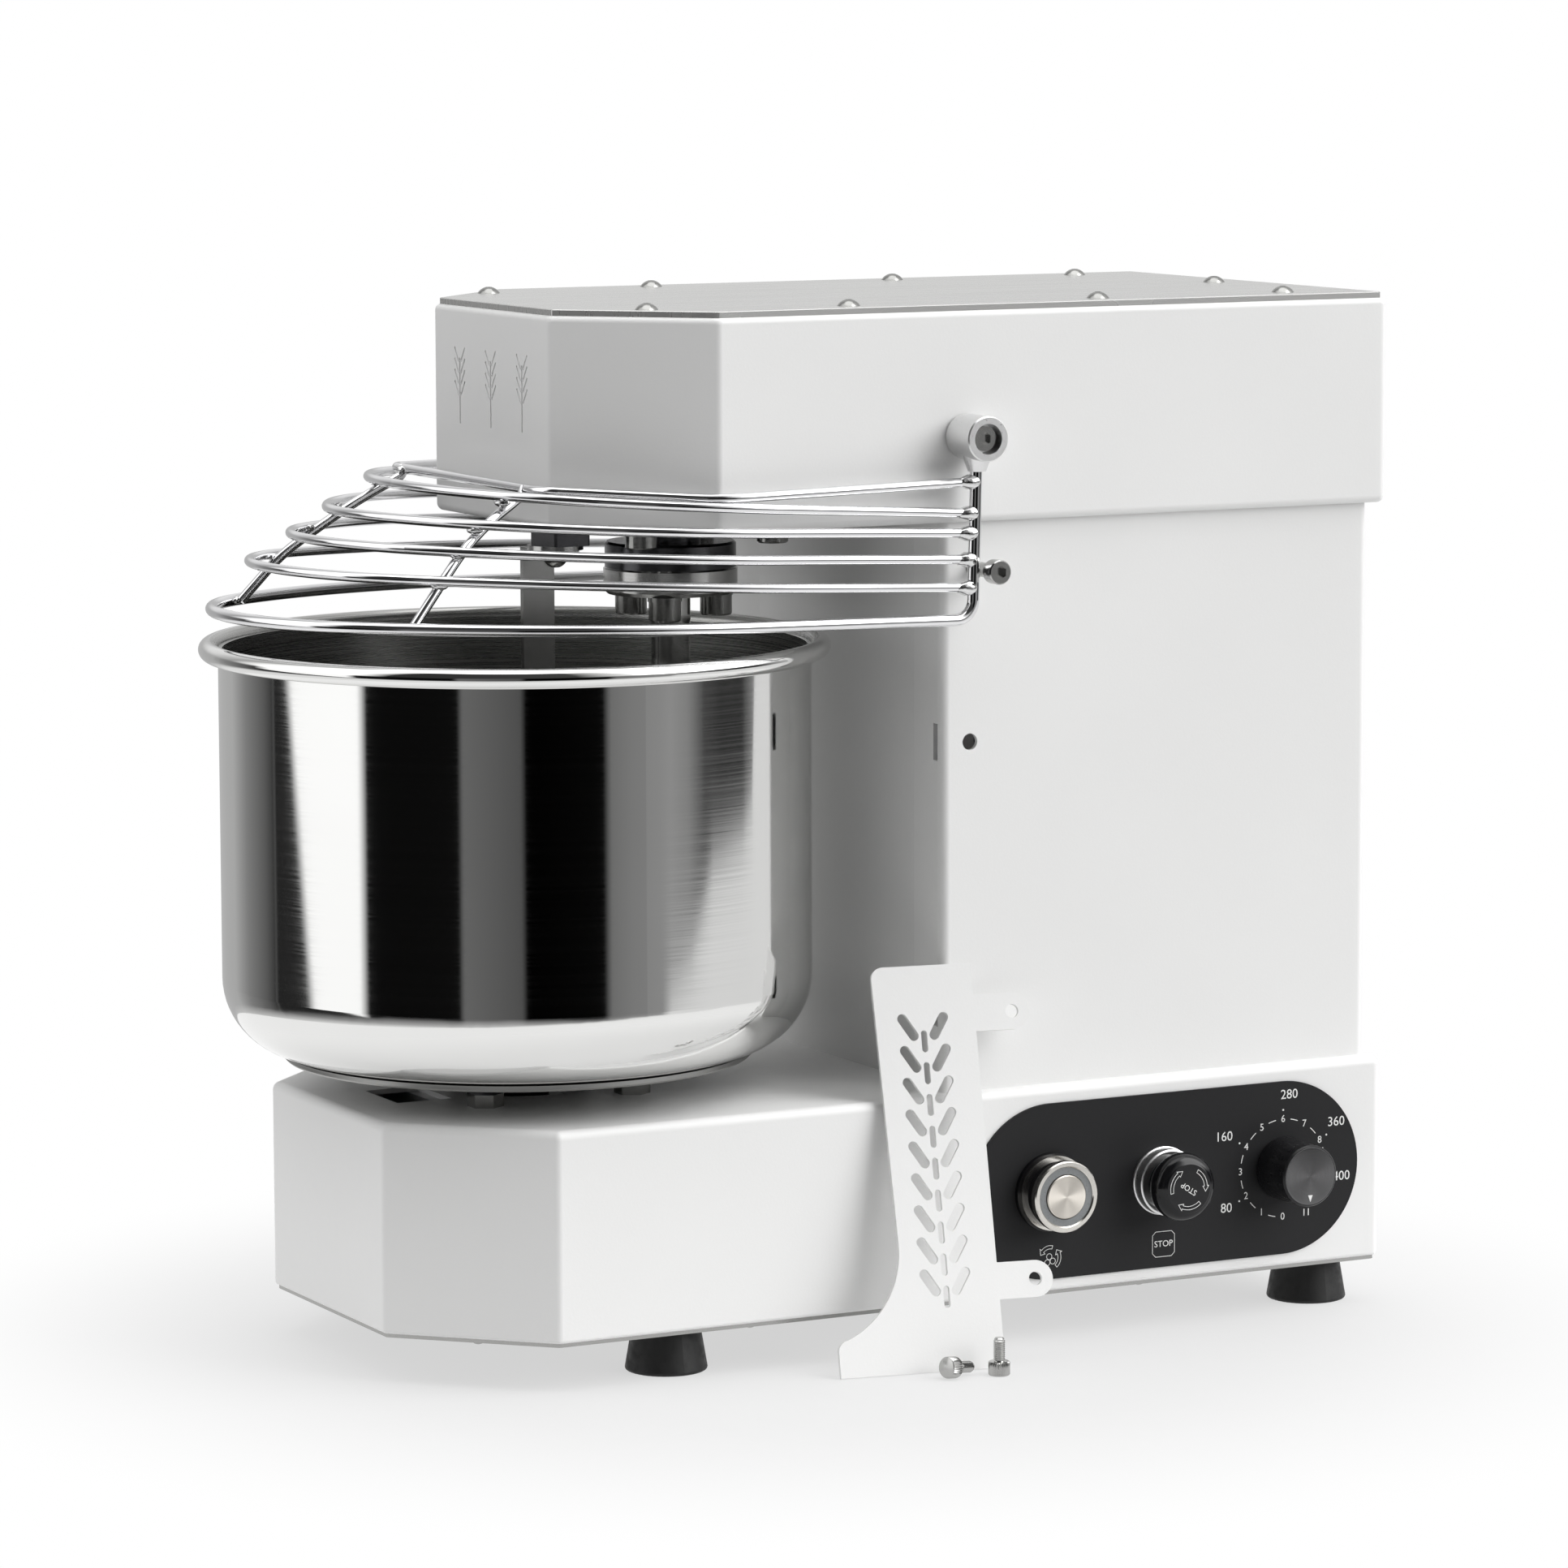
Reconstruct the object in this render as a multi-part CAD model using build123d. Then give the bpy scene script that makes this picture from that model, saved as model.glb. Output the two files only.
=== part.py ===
from build123d import *

import math
import os

# Bench-top spiral dough mixer with a bowl of about 7 litres, as separate sub-parts in millimetres.
# +Z is up, the bowl is at the front (-Y) and the controls are on the right side (+X).
# The origin is on the floor, on the machine's centre plane, midway between the front and rear feet.

# ---- driving dimensions -------------------------------------------------------------------------
SHEET = 2.0
BEND = 3.5

# base box, column and head box: half width, front, rear, bottom and top
BASE_HALF, BASE_FRONT, BASE_REAR = 108.0, -264.5, 173.0
BASE_CHAMFER_X, BASE_CHAMFER_Y = 52.0, 53.5
BASE_BOTTOM, BASE_TOP = 20.4, 106.0
COVER_T = 1.6
COLUMN_HALF, COLUMN_FRONT, COLUMN_REAR = 101.2, -30.2, 168.6
COLUMN_FOLD_X, COLUMN_WING = 69.5, 4.8
HEAD_HALF, HEAD_FRONT, HEAD_REAR = 105.6, -188.0, 175.0
HEAD_CHAMFER = 50.8
HEAD_BOTTOM, HEAD_TOP = 340.0, 425.5
HEAD_FLANGE, BASE_FLANGE = 24.0, 30.0
LID_T, LID_INSET = 2.5, 2.0

# vertical axes along the centre plane
BOWL_Y, HOOK_Y, JACK_Y, MOTOR_Y = -178.0, -107.0, 10.0, 98.0

# bowl
BOWL_R, BOWL_T, BOWL_CORNER = 121.2, 1.5, 31.0
BOWL_BOTTOM, RIM_Z, BEAD_R = 122.0, 288.0, 4.0
CARRIER_R, CARRIER_T = 96.5, 2.5
HUB_R, HUB_BOTTOM = 29.0, 107.5
BOWL_BOLT_X, BOWL_BOLT_Y = 39.0, 33.0

# shafts and bearings
SHAFT_R, JACK_SHAFT_R, MOTOR_SHAFT_R = 12.5, 8.5, 7.0
BEARING_R, BEARING_W = 26.0, 15.0
JACK_BEARING_R, JACK_BEARING_W = 20.0, 12.0
MOTOR_BEARING_R, MOTOR_BEARING_W = 15.0, 10.0
RUNNING_FIT, SEAT_LIP = 0.05, 9.0
BOWL_BEARINGS, HOOK_BEARINGS, JACK_BEARINGS = (59.0, 86.0), (341.0, 361.5), (76.0, 90.0)
MOTOR_LOW, MOTOR_HIGH, MOTOR_R, BRACKET_Z = 162.0, 326.0, 54.0, 150.0

# flat belts: groove radius of each pulley, and the belt's section
HOOK_PULLEY_R, MOTOR_TOP_R = 63.0, 18.0
JACK_LARGE_R, MOTOR_LOW_R = 60.0, 10.0
BOWL_PULLEY_R, JACK_SMALL_R = 72.0, 14.0
PULLEY_W, PULLEY_RIM, RIM_HEIGHT = 14.0, 1.2, 3.0
BELT_T, BELT_GAP, BELT_W = 2.5, 0.3, 11.0
HEAD_BELT_Z, UPPER_BELT_Z, LOWER_BELT_Z = 380.0, 58.0, 38.0

# kneading hook and its flanged spindle
SPINDLE_DISC_R, SPINDLE_DISC_Z, SPINDLE_DISC_T = 27.2, 317.6, 10.6
HOOK_DISC_R, HOOK_DISC_Z, HOOK_DISC_T = 27.8, 306.6, 10.3
HOOK_BOLT_CIRCLE, HOOK_BOLT_START, HOOK_WASHER_T = 20.5, 87.0, 1.8
HOOK_ROD_R, HOOK_SWEEP_R = 8.2, 33.0
HOOK_SPIRAL_TOP, HOOK_SPIRAL_END = 250.0, 138.0
HOUSING_R, HOUSING_Z, HOUSING_TOP = 31.0, 336.6, 378.0
HOUSING_BOLT_X, HOUSING_BOLT_Y = 34.0, 30.0

# breaker bar
BREAKER_X, BREAKER_Y, BREAKER_W, BREAKER_T = -9.5, -163.3, 14.0, 3.0
BREAKER_END = 133.0
BREAKER_BOLT_X = 8.0
BLOCK_X, BLOCK_Y, BLOCK_W, BLOCK_D, BLOCK_Z = 9.0, -161.5, 24.0, 16.0, 329.5

# wire guard: hinge, side bars, and for each loop (rear height, tilt, arc start, front, front radius)
HINGE_Y, HINGE_Z = -26.5, 375.0
GUARD_HALF, BAR_R, WIRE_R = 116.0, 2.5, 2.0
HUB_IN, HUB_OUT, GUARD_HUB_R, GUARD_BORE_R = 106.4, 125.6, 9.2, 4.2
GUARD_LOOPS = [
    (301.6, 0.0167, -132.0, -304.4, 87.3),
    (314.6, 0.041, -90.0, -288.1, 82.0),
    (325.9, 0.041, -118.0, -269.7, 84.5),
    (336.6, 0.041, -122.0, -253.7, 82.0),
    (344.6, 0.058, -118.0, -230.9, 85.0),
]
TOP_LOOP = [(116.0, -27.8, 357.3), (113.0, -141.0, 354.5), (72.0, -200.0, 357.3)]
TOP_LOOP_BEND = 14.0
LEFT_ROD_X, RIGHT_ROD_X = (-62.0, -64.0), (58.0, 77.0)
BAR_LEAN, BAR_BEND = 0.026, 8.0
STOP_Y, STOP_Z = -20.4, 321.0

# controls on the right side of the base
PANEL_T, PANEL_H, CONTROL_Z = 1.0, 73.5, 62.3
BUTTON_Y, ESTOP_Y, KNOB_Y = 12.0, 65.5, 124.3
PANEL_X = BASE_HALF + PANEL_T

# feet, side guard plate and its two thumb screws
FOOT_X, FOOT_Y, FOOT_R, FOOT_TOP_R = 83.4, 152.0, 17.0, 13.8
PLATE_T, PLATE_LEFT, PLATE_RIGHT, PLATE_H = 2.0, 27.0, 70.0, 165.0
PLATE_YAW, PLATE_LEAN = 80.2, 15.5
PLATE_FOOT = (136.13, -99.6)
TAB_W, TAB_REACH, TAB_UPPER, TAB_LOWER, TAB_HOLE_R = 15.0, 23.5, 144.5, 35.0, 2.8
COLUMN_HOLE_Y, COLUMN_HOLE_Z, COLUMN_HOLE_PITCH = -21.5, 250.0, 109.5

LID_SCREWS = [(75.0, -154.0), (90.0, -71.0), (89.0, 45.0), (87.0, 135.0)]
LID_REAR_SCREW = (0.0, 154.0)


# ---- helpers ------------------------------------------------------------------------------------
def octagon(half, front, rear, chamfer_x, chamfer_y, inset=0.0, radius=0.0):
    """Plan outline of a box with two chamfered front corners."""
    points = [(-half, rear), (half, rear), (half, front + chamfer_y), (half - chamfer_x, front),
              (chamfer_x - half, front), (-half, front + chamfer_y)]
    face = make_face(Polyline(*points, close=True))
    if inset:
        face = offset(face, amount=-inset, kind=Kind.INTERSECTION)
    if radius:
        face = fillet(face.vertices(), radius)
    return face


def base_outline(inset=0.0, radius=0.0):
    return octagon(BASE_HALF, BASE_FRONT, BASE_REAR, BASE_CHAMFER_X, BASE_CHAMFER_Y, inset, radius)


def head_outline(inset=0.0, radius=0.0):
    return octagon(HEAD_HALF, HEAD_FRONT, HEAD_REAR, HEAD_CHAMFER, HEAD_CHAMFER, inset, radius)


def column_outline(inset=0.0, radius=0.0):
    """Column section: the front is folded into a shallow hollow that clears the bowl."""
    wing = COLUMN_FRONT - COLUMN_WING
    points = [(-COLUMN_HALF, COLUMN_REAR), (COLUMN_HALF, COLUMN_REAR), (COLUMN_HALF, wing),
              (COLUMN_FOLD_X, COLUMN_FRONT), (-COLUMN_FOLD_X, COLUMN_FRONT), (-COLUMN_HALF, wing)]
    face = make_face(Polyline(*points, close=True))
    if inset:
        face = offset(face, amount=-inset, kind=Kind.INTERSECTION)
    if radius:
        corners = [v for v in face.vertices() if abs(v.X) > COLUMN_FOLD_X + 5]
        face = fillet(corners, radius)
    return face


def prism(face, low, high):
    return extrude(Pos(0, 0, low) * face, high - low)


def rod(x, y, low, high, radius):
    """Vertical cylinder between two heights."""
    return Pos(x, y, low) * Cylinder(radius, high - low, align=(Align.CENTER, Align.CENTER, Align.MIN))


def rod_x(y, z, low, high, radius):
    """Cylinder along X between two positions."""
    bar = Cylinder(radius, high - low, align=(Align.CENTER, Align.CENTER, Align.MIN))
    return Pos(low, y, z) * Rot(0, 90, 0) * bar


def ring(x, y, low, high, outer, inner):
    return rod(x, y, low, high, outer) - rod(x, y, low - 1, high + 1, inner)


def ring_x(y, z, low, high, outer, inner):
    return rod_x(y, z, low, high, outer) - rod_x(y, z, low - 1, high + 1, inner)


def block(x0, x1, y0, y1, z0, z1):
    return Pos((x0 + x1) / 2, (y0 + y1) / 2, (z0 + z1) / 2) * Box(x1 - x0, y1 - y0, z1 - z0)


def group(solids):
    return Compound(children=[Part() + s for s in solids])


def corners(x, y):
    """The four points at plus and minus x and y."""
    return [(sx * x, sy * y) for sx in (-1, 1) for sy in (-1, 1)]


def on_circle(radius, count, start=0.0):
    turns = [math.radians(start + 360.0 * i / count) for i in range(count)]
    return [(radius * math.cos(a), radius * math.sin(a)) for a in turns]


def cap_screw(thread, length, head_r, head_h, socket=0.0):
    """Socket head screw along Z: the head stands on z = 0 and the shank hangs below it."""
    screw = rod(0, 0, 0, head_h, head_r) + rod(0, 0, -length, 0, thread / 2)
    screw = chamfer(screw.edges().group_by(Axis.Z)[-1], head_h * 0.08)
    if socket:
        recess = extrude(RegularPolygon(socket, 6), head_h * 0.55)
        screw -= Pos(0, 0, head_h * 0.45 + 0.01) * recess
    return screw


def button_screw(thread, length, head_r, head_h):
    """Dome head screw along Z with a hexagon socket."""
    dome_r = (head_r ** 2 + head_h ** 2) / (2 * head_h)
    dome = Pos(0, 0, head_h - dome_r) * Sphere(dome_r)
    head = dome & rod(0, 0, 0, head_h, head_r)
    screw = head + rod(0, 0, -length, 0, thread / 2)
    return screw - Pos(0, 0, head_h * 0.4) * extrude(RegularPolygon(thread * 0.3, 6), head_h)


def hex_screw(thread, length, across_flats, head_h):
    head = extrude(RegularPolygon(across_flats / 2, 6, major_radius=False), head_h)
    return head + rod(0, 0, -length, 0, thread / 2)


def hex_nut(across_flats, height, bore):
    nut = extrude(RegularPolygon(across_flats / 2, 6, major_radius=False), height)
    return nut - rod(0, 0, -1, height + 1, bore)


def pulley(y, low, groove, bore, hub_r=0.0, holes=0):
    """Flanged flat-belt pulley on a vertical shaft."""
    high = low + PULLEY_W
    wheel = rod(0, y, low, high, groove)
    for edge in (low, high - PULLEY_RIM):
        wheel += rod(0, y, edge, edge + PULLEY_RIM, groove + RIM_HEIGHT)
    if hub_r:
        web, rim_in = 4.0, groove - 6.0
        for z0, z1 in ((low - 1, low + web), (high - web, high + 1)):
            wheel -= ring(0, y, z0, z1, rim_in, hub_r)
    if holes:
        middle = (groove - 6.0 + hub_r) / 2
        for dx, dy in on_circle(middle, holes):
            wheel -= rod(dx, y + dy, low - 1, high + 1, (groove - 6.0 - hub_r) * 0.32)
    return wheel - rod(0, y, low - 1, high + 1, bore)


def belt_outline(y_a, r_a, y_b, r_b):
    """Outline round two circles on the centre plane, with y_a < y_b."""
    lean = math.asin((r_a - r_b) / (y_b - y_a))
    c, s = math.cos(lean), math.sin(lean)
    a_left, a_right = (-r_a * c, y_a + r_a * s), (r_a * c, y_a + r_a * s)
    b_left, b_right = (-r_b * c, y_b + r_b * s), (r_b * c, y_b + r_b * s)
    return make_face([
        ThreePointArc(a_left, (0, y_a - r_a), a_right),
        Line(a_right, b_right),
        ThreePointArc(b_right, (0, y_b + r_b), b_left),
        Line(b_left, a_left),
    ])


def belt(y_a, r_a, y_b, r_b, low):
    """Flat belt that runs just clear of its pulleys."""
    start = low + (PULLEY_W - BELT_W) / 2
    outer = belt_outline(y_a, r_a + BELT_GAP + BELT_T, y_b, r_b + BELT_GAP + BELT_T)
    inner = belt_outline(y_a, r_a + BELT_GAP, y_b, r_b + BELT_GAP)
    return prism(outer, start, start + BELT_W) - prism(inner, start - 1, start + BELT_W + 1)


def bent_wire(points, radius, share=0.45, bends=None):
    """Round bar along straight runs joined by tangent arcs."""
    vectors = [Vector(*p) for p in points]
    radii = []
    for i in range(1, len(vectors) - 1):
        before, after = vectors[i] - vectors[i - 1], vectors[i + 1] - vectors[i]
        turn = math.radians(before.get_angle(after))
        radii.append(share * min(before.length, after.length) / math.tan(turn / 2))
    path = FilletPolyline(*vectors, radius=bends or radii)
    section = Plane(path @ 0, z_dir=path % 0) * Circle(radius)
    return sweep(section, path=path)


# ---- casings ------------------------------------------------------------------------------------
def base_shell():
    outer = prism(base_outline(radius=BEND), BASE_BOTTOM, BASE_TOP)
    outer = fillet(outer.edges().group_by(Axis.Z)[-1], BEND)
    outer = fillet(outer.edges().group_by(Axis.Z)[0], 1.5)
    inner = prism(base_outline(SHEET, BEND - SHEET), BASE_BOTTOM + SHEET, BASE_TOP - SHEET)
    shell = outer - inner - prism(base_outline(BASE_FLANGE), BASE_BOTTOM - 1, BASE_BOTTOM + SHEET + 1)
    top = (BASE_TOP - SHEET - 1, BASE_TOP + 1)
    shell -= rod(0, BOWL_Y, *top, BEARING_R + 2)
    shell -= block(-16.5, 16.5, BOWL_Y - 62, BOWL_Y - 38, *top)
    for x, y in corners(BOWL_BOLT_X, BOWL_BOLT_Y):
        shell -= rod(x, BOWL_Y + y, *top, 4.2)
    for x, y in on_circle(33.0, 4, 45):
        shell -= rod(x, JACK_Y + y, *top, 3.2)
    shell -= rod(0, MOTOR_Y, *top, 16.0)
    for x, y in corners(60.0, 45.0):
        shell -= rod(x, MOTOR_Y + y, *top, 3.2)
    side = (BASE_HALF - SHEET - 2, BASE_HALF + 2)
    shell -= rod_x(BUTTON_Y, CONTROL_Z, *side, 12.7)
    shell -= rod_x(ESTOP_Y, CONTROL_Z, *side, 11.2)
    shell -= rod_x(KNOB_Y, CONTROL_Z, *side, 5.2)
    shell -= block(-14.2, 14.2, BASE_REAR - SHEET - 2, BASE_REAR + 2, 45.0, 65.6)
    for x in (-20.0, 20.0):
        shell -= Pos(x, BASE_REAR, 55.3) * Rot(90, 0, 0) * Cylinder(1.7, 12)
    for x, y in corners(FOOT_X, FOOT_Y):
        shell -= rod(x, y, BASE_BOTTOM - 1, BASE_BOTTOM + SHEET + 1, 2.7)
    for x, y in COVER_SCREWS:
        shell -= rod(x, y, BASE_BOTTOM - 1, BASE_BOTTOM + SHEET + 1, 1.8)
    return shell


COVER_SCREWS = [(sx * x, y) for x, y in ((99.0, 60.0), (99.0, -60.0), (99.0, -122.0), (76.0, -232.0),
                                         (35.0, -256.0), (40.0, 162.0)) for sx in (-1, 1)]


def base_cover():
    plate = prism(base_outline(1.5, 2.0), BASE_BOTTOM - COVER_T, BASE_BOTTOM)
    span = (BASE_BOTTOM - COVER_T - 1, BASE_BOTTOM + 1)
    slot = SlotOverall(46.0, 5.0)
    for row in range(7):
        for x in (-32.0, 32.0):
            plate -= prism(Pos(x, 40.0 + 14.0 * row) * slot, *span)
    for x, y in corners(FOOT_X, FOOT_Y):
        plate -= rod(x, y, *span, 2.7)
    for x, y in COVER_SCREWS:
        plate -= rod(x, y, *span, 2.1)
    return plate


def column_shell():
    shell = prism(column_outline(radius=BEND), BASE_TOP, HEAD_BOTTOM)
    shell -= prism(column_outline(SHEET, BEND - SHEET), BASE_TOP - 1, HEAD_BOTTOM + 1)
    shell -= block(-68.0, 68.0, COLUMN_REAR - SHEET - 2, COLUMN_REAR + 2, 132.0, 308.0)
    for x, z in rear_cover_screw_places():
        shell -= Pos(x, COLUMN_REAR, z) * Rot(90, 0, 0) * Cylinder(2.1, 12)
    for z in (COLUMN_HOLE_Z, COLUMN_HOLE_Z - COLUMN_HOLE_PITCH):
        shell -= rod_x(COLUMN_HOLE_Y, z, COLUMN_HALF - 6, COLUMN_HALF + 2, 3.4)
        shell -= block(92.4, 97.4, COLUMN_FRONT - 8, COLUMN_FRONT + 4, z - 7.6, z + 7.6)
    for side in (-1, 1):
        x = side * COLUMN_HALF
        shell -= rod_x(STOP_Y, STOP_Z, x - 5, x + 5, 3.0)
    return shell


def rear_cover_screw_places():
    return [(sx * 76.0, z) for sx in (-1, 1) for z in (124.0, 220.0, 316.0)]


def rear_cover():
    plate = block(-84.0, 84.0, COLUMN_REAR, COLUMN_REAR + 1.5, 116.0, 324.0)
    plate = fillet(plate.edges().filter_by(Axis.Y), 6.0)
    slot = Rot(90, 0, 0) * extrude(SlotOverall(44.0, 4.5), 6.0, both=True)
    for row in range(9):
        for x in (-28.0, 28.0):
            plate -= Pos(x, COLUMN_REAR, 252.0 + 6.0 * row - 36.0 * (row > 4)) * slot
    for x, z in rear_cover_screw_places():
        plate -= Pos(x, COLUMN_REAR, z) * Rot(90, 0, 0) * Cylinder(2.3, 12)
    return plate


def head_shell():
    outer = prism(head_outline(radius=BEND), HEAD_BOTTOM, HEAD_TOP)
    outer = fillet(outer.edges().group_by(Axis.Z)[0], 3.0)
    outer = fillet(outer.edges().group_by(Axis.Z)[-1], 2.5)
    inner = prism(head_outline(SHEET, BEND - SHEET), HEAD_BOTTOM + SHEET, HEAD_TOP - SHEET)
    shell = outer - inner - prism(head_outline(HEAD_FLANGE), HEAD_TOP - SHEET - 1, HEAD_TOP + 1)
    floor = (HEAD_BOTTOM - 1, HEAD_BOTTOM + SHEET + 1)
    shell -= block(-80.0, 80.0, -10.0, 155.0, *floor)
    shell -= rod(0, HOOK_Y, *floor, HOUSING_R)
    for x, y in corners(HOUSING_BOLT_X, HOUSING_BOLT_Y):
        shell -= rod(x, HOOK_Y + y, *floor, 4.2)
    for x, y in lid_screw_places():
        shell -= rod(x, y, HEAD_TOP - 4, HEAD_TOP + 1, 2.5)
    for side in (-1, 1):
        x = side * HEAD_HALF
        shell -= rod_x(HINGE_Y, HINGE_Z, x - 5, x + 5, 3.0)
    return shell - head_engraving()


def head_engraving():
    """Three plain ears of wheat, cut 0.4 mm deep in the front of the head."""
    depth, width = 0.4, 1.1
    lines = []
    for ear in (-1, 0, 1):
        x = 30.0 * ear
        lines.append(Pos(x, 0) * Rectangle(width, 27.0))
        for row in range(4):
            for side in (-1, 1):
                grain = Rot(0, 0, -35 * side) * Rectangle(width, 7.2)
                lines.append(Pos(x + 3.0 * side, 1.0 + 4.6 * row) * grain)
    cut = Sketch() + lines
    face = Plane(origin=(0, HEAD_FRONT, 391.0), x_dir=(1, 0, 0), z_dir=(0, -1, 0))
    return extrude(face * cut, -depth) + extrude(face * cut, 1.0)


def lid_screw_places():
    return [(s * x, y) for x, y in LID_SCREWS for s in (-1, 1)] + [LID_REAR_SCREW]


def head_lid():
    lid = prism(head_outline(LID_INSET, 1.5), HEAD_TOP, HEAD_TOP + LID_T)
    lid = chamfer(lid.edges().group_by(Axis.Z)[-1], 0.3)
    for x, y in lid_screw_places():
        lid -= rod(x, y, HEAD_TOP - 1, HEAD_TOP + LID_T + 1, 2.7)
    return lid


def lid_screws():
    return group([Pos(x, y, HEAD_TOP + LID_T) * button_screw(5.0, 8.0, 4.75, 2.75)
                  for x, y in lid_screw_places()])


def rubber_foot(x, y):
    height = BASE_BOTTOM - COVER_T
    foot = Cone(FOOT_R, FOOT_TOP_R, height, align=(Align.CENTER, Align.CENTER, Align.MIN))
    foot = fillet(foot.edges().group_by(Axis.Z)[0], 1.2)
    foot -= rod(0, 0, -1, 6.0, 7.0) + rod(0, 0, -1, height + 1, 2.7)
    return Pos(x, y) * foot


def rubber_feet():
    return group([rubber_foot(x, y) for x, y in corners(FOOT_X, FOOT_Y)])


# ---- bowl and its drive -------------------------------------------------------------------------
def bowl():
    """Spun bowl with a large bottom corner and a rolled bead at the rim."""
    r, t, c, z = BOWL_R, BOWL_T, BOWL_CORNER, BOWL_BOTTOM
    diagonal = math.sqrt(0.5)
    wall = make_face([
        Line((12.0, z), (r - c, z)),
        ThreePointArc((r - c, z), (r - c + c * diagonal, z + c - c * diagonal), (r, z + c)),
        Line((r, z + c), (r, RIM_Z)),
        Line((r, RIM_Z), (r - t, RIM_Z)),
        Line((r - t, RIM_Z), (r - t, z + c)),
        ThreePointArc((r - t, z + c), (r - c + (c - t) * diagonal, z + c - (c - t) * diagonal),
                      (r - c, z + t)),
        Line((r - c, z + t), (12.0, z + t)),
        Line((12.0, z + t), (12.0, z)),
    ])
    bead = Pos(r + BEAD_R, RIM_Z) * Circle(BEAD_R)
    profile = Plane.XZ * (wall + Pos(r + BEAD_R / 2, RIM_Z - 1.0) * Rectangle(BEAD_R + 2 * t, 2.0) + bead)
    return Pos(0, BOWL_Y) * revolve(profile, Axis.Z)


def bowl_carrier():
    low = BOWL_BOTTOM - CARRIER_T
    disc = ring(0, BOWL_Y, low, BOWL_BOTTOM, CARRIER_R, 12.0)
    return chamfer(disc.edges().group_by(Axis.Z)[0].sort_by(SortBy.LENGTH)[-1:], 0.8)


def bowl_shaft():
    """Shaft turned in one piece with the hub that carries the bowl."""
    top = BOWL_BOTTOM - CARRIER_T
    hub = rod(0, BOWL_Y, HUB_BOTTOM, top, HUB_R)
    hub = chamfer(hub.edges().group_by(Axis.Z)[-1], 1.0)
    shaft = hub + rod(0, BOWL_Y, LOWER_BELT_Z - 2.0, HUB_BOTTOM, SHAFT_R)
    return shaft + rod(0, BOWL_Y, top, BOWL_BOTTOM + BOWL_T + 2.0, 12.0)


def bowl_pulley():
    return pulley(BOWL_Y, LOWER_BELT_Z, BOWL_PULLEY_R, SHAFT_R, 22.0, 6)


def bowl_bearing_housing():
    top = BASE_TOP - SHEET
    body = rod(0, BOWL_Y, 56.5, top, HOUSING_R)
    flange = Pos(0, BOWL_Y) * fillet(Rectangle(98.0, 86.0).vertices(), 10.0)
    body += prism(flange, top - 8.0, top)
    body -= rod(0, BOWL_Y, BOWL_BEARINGS[0], top + 1, BEARING_R)
    body -= rod(0, BOWL_Y, 50.0, 60.0, BEARING_R - SEAT_LIP)
    for x, y in corners(BOWL_BOLT_X, BOWL_BOLT_Y):
        body -= rod(x, BOWL_Y + y, top - 9.0, top + 1, 4.0)
    return body


def bowl_housing_bolts():
    return group([Pos(x, BOWL_Y + y, BASE_TOP) * hex_screw(8.0, 14.0, 13.0, 5.3)
                  for x, y in corners(BOWL_BOLT_X, BOWL_BOLT_Y)])


# ---- jackshaft ----------------------------------------------------------------------------------
def jackshaft():
    return rod(0, JACK_Y, LOWER_BELT_Z - 2.0, 103.0, JACK_SHAFT_R)


def jackshaft_pulleys():
    large = pulley(JACK_Y, UPPER_BELT_Z, JACK_LARGE_R, JACK_SHAFT_R, 16.0, 5)
    return group([large, pulley(JACK_Y, LOWER_BELT_Z, JACK_SMALL_R, JACK_SHAFT_R)])


def jackshaft_housing():
    top = BASE_TOP - SHEET
    body = rod(0, JACK_Y, 74.0, top, JACK_BEARING_R + 5) + rod(0, JACK_Y, top - 6.0, top, 40.0)
    body -= rod(0, JACK_Y, JACK_BEARINGS[0], top + 1, JACK_BEARING_R)
    body -= rod(0, JACK_Y, 70.0, 77.0, JACK_BEARING_R - SEAT_LIP)
    for x, y in on_circle(33.0, 4, 45):
        body -= rod(x, JACK_Y + y, top - 7.0, top + 1, 3.0)
    return body


def bearings():
    """Plain-sided bearing rings: two each for the bowl, jackshaft, hook spindle and motor."""
    rings = []
    for y, places, width, outer, shaft in (
            (BOWL_Y, BOWL_BEARINGS, BEARING_W, BEARING_R, SHAFT_R),
            (JACK_Y, JACK_BEARINGS, JACK_BEARING_W, JACK_BEARING_R, JACK_SHAFT_R),
            (HOOK_Y, HOOK_BEARINGS, BEARING_W, BEARING_R, SHAFT_R),
            (MOTOR_Y, (MOTOR_LOW - 5.0, MOTOR_HIGH - 10.0), MOTOR_BEARING_W, MOTOR_BEARING_R, MOTOR_SHAFT_R)):
        for z in places:
            rings.append(ring(0, y, z, z + width, outer, shaft + RUNNING_FIT))
    return group(rings)


# ---- motor --------------------------------------------------------------------------------------
def motor_bracket():
    """Plate that carries the motor, on four legs bolted to the top of the base."""
    outline = Pos(0, MOTOR_Y) * fillet(Rectangle(136.0, 106.0).vertices(), 8.0)
    body = prism(outline, BRACKET_Z, BRACKET_Z + 6.0)
    body -= rod(0, MOTOR_Y, BRACKET_Z - 1, BRACKET_Z + 7, 20.0)
    for x, y in corners(60.0, 45.0):
        body += rod(x, MOTOR_Y + y, BASE_TOP, BRACKET_Z, 8.0)
        body -= rod(x, MOTOR_Y + y, BASE_TOP - 1, BASE_TOP + 16.0, 2.5)
    for x, y in on_circle(38.0, 4, 45):
        body -= rod(x, MOTOR_Y + y, BRACKET_Z - 1, BRACKET_Z + 7, 3.2)
    return body


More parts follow.
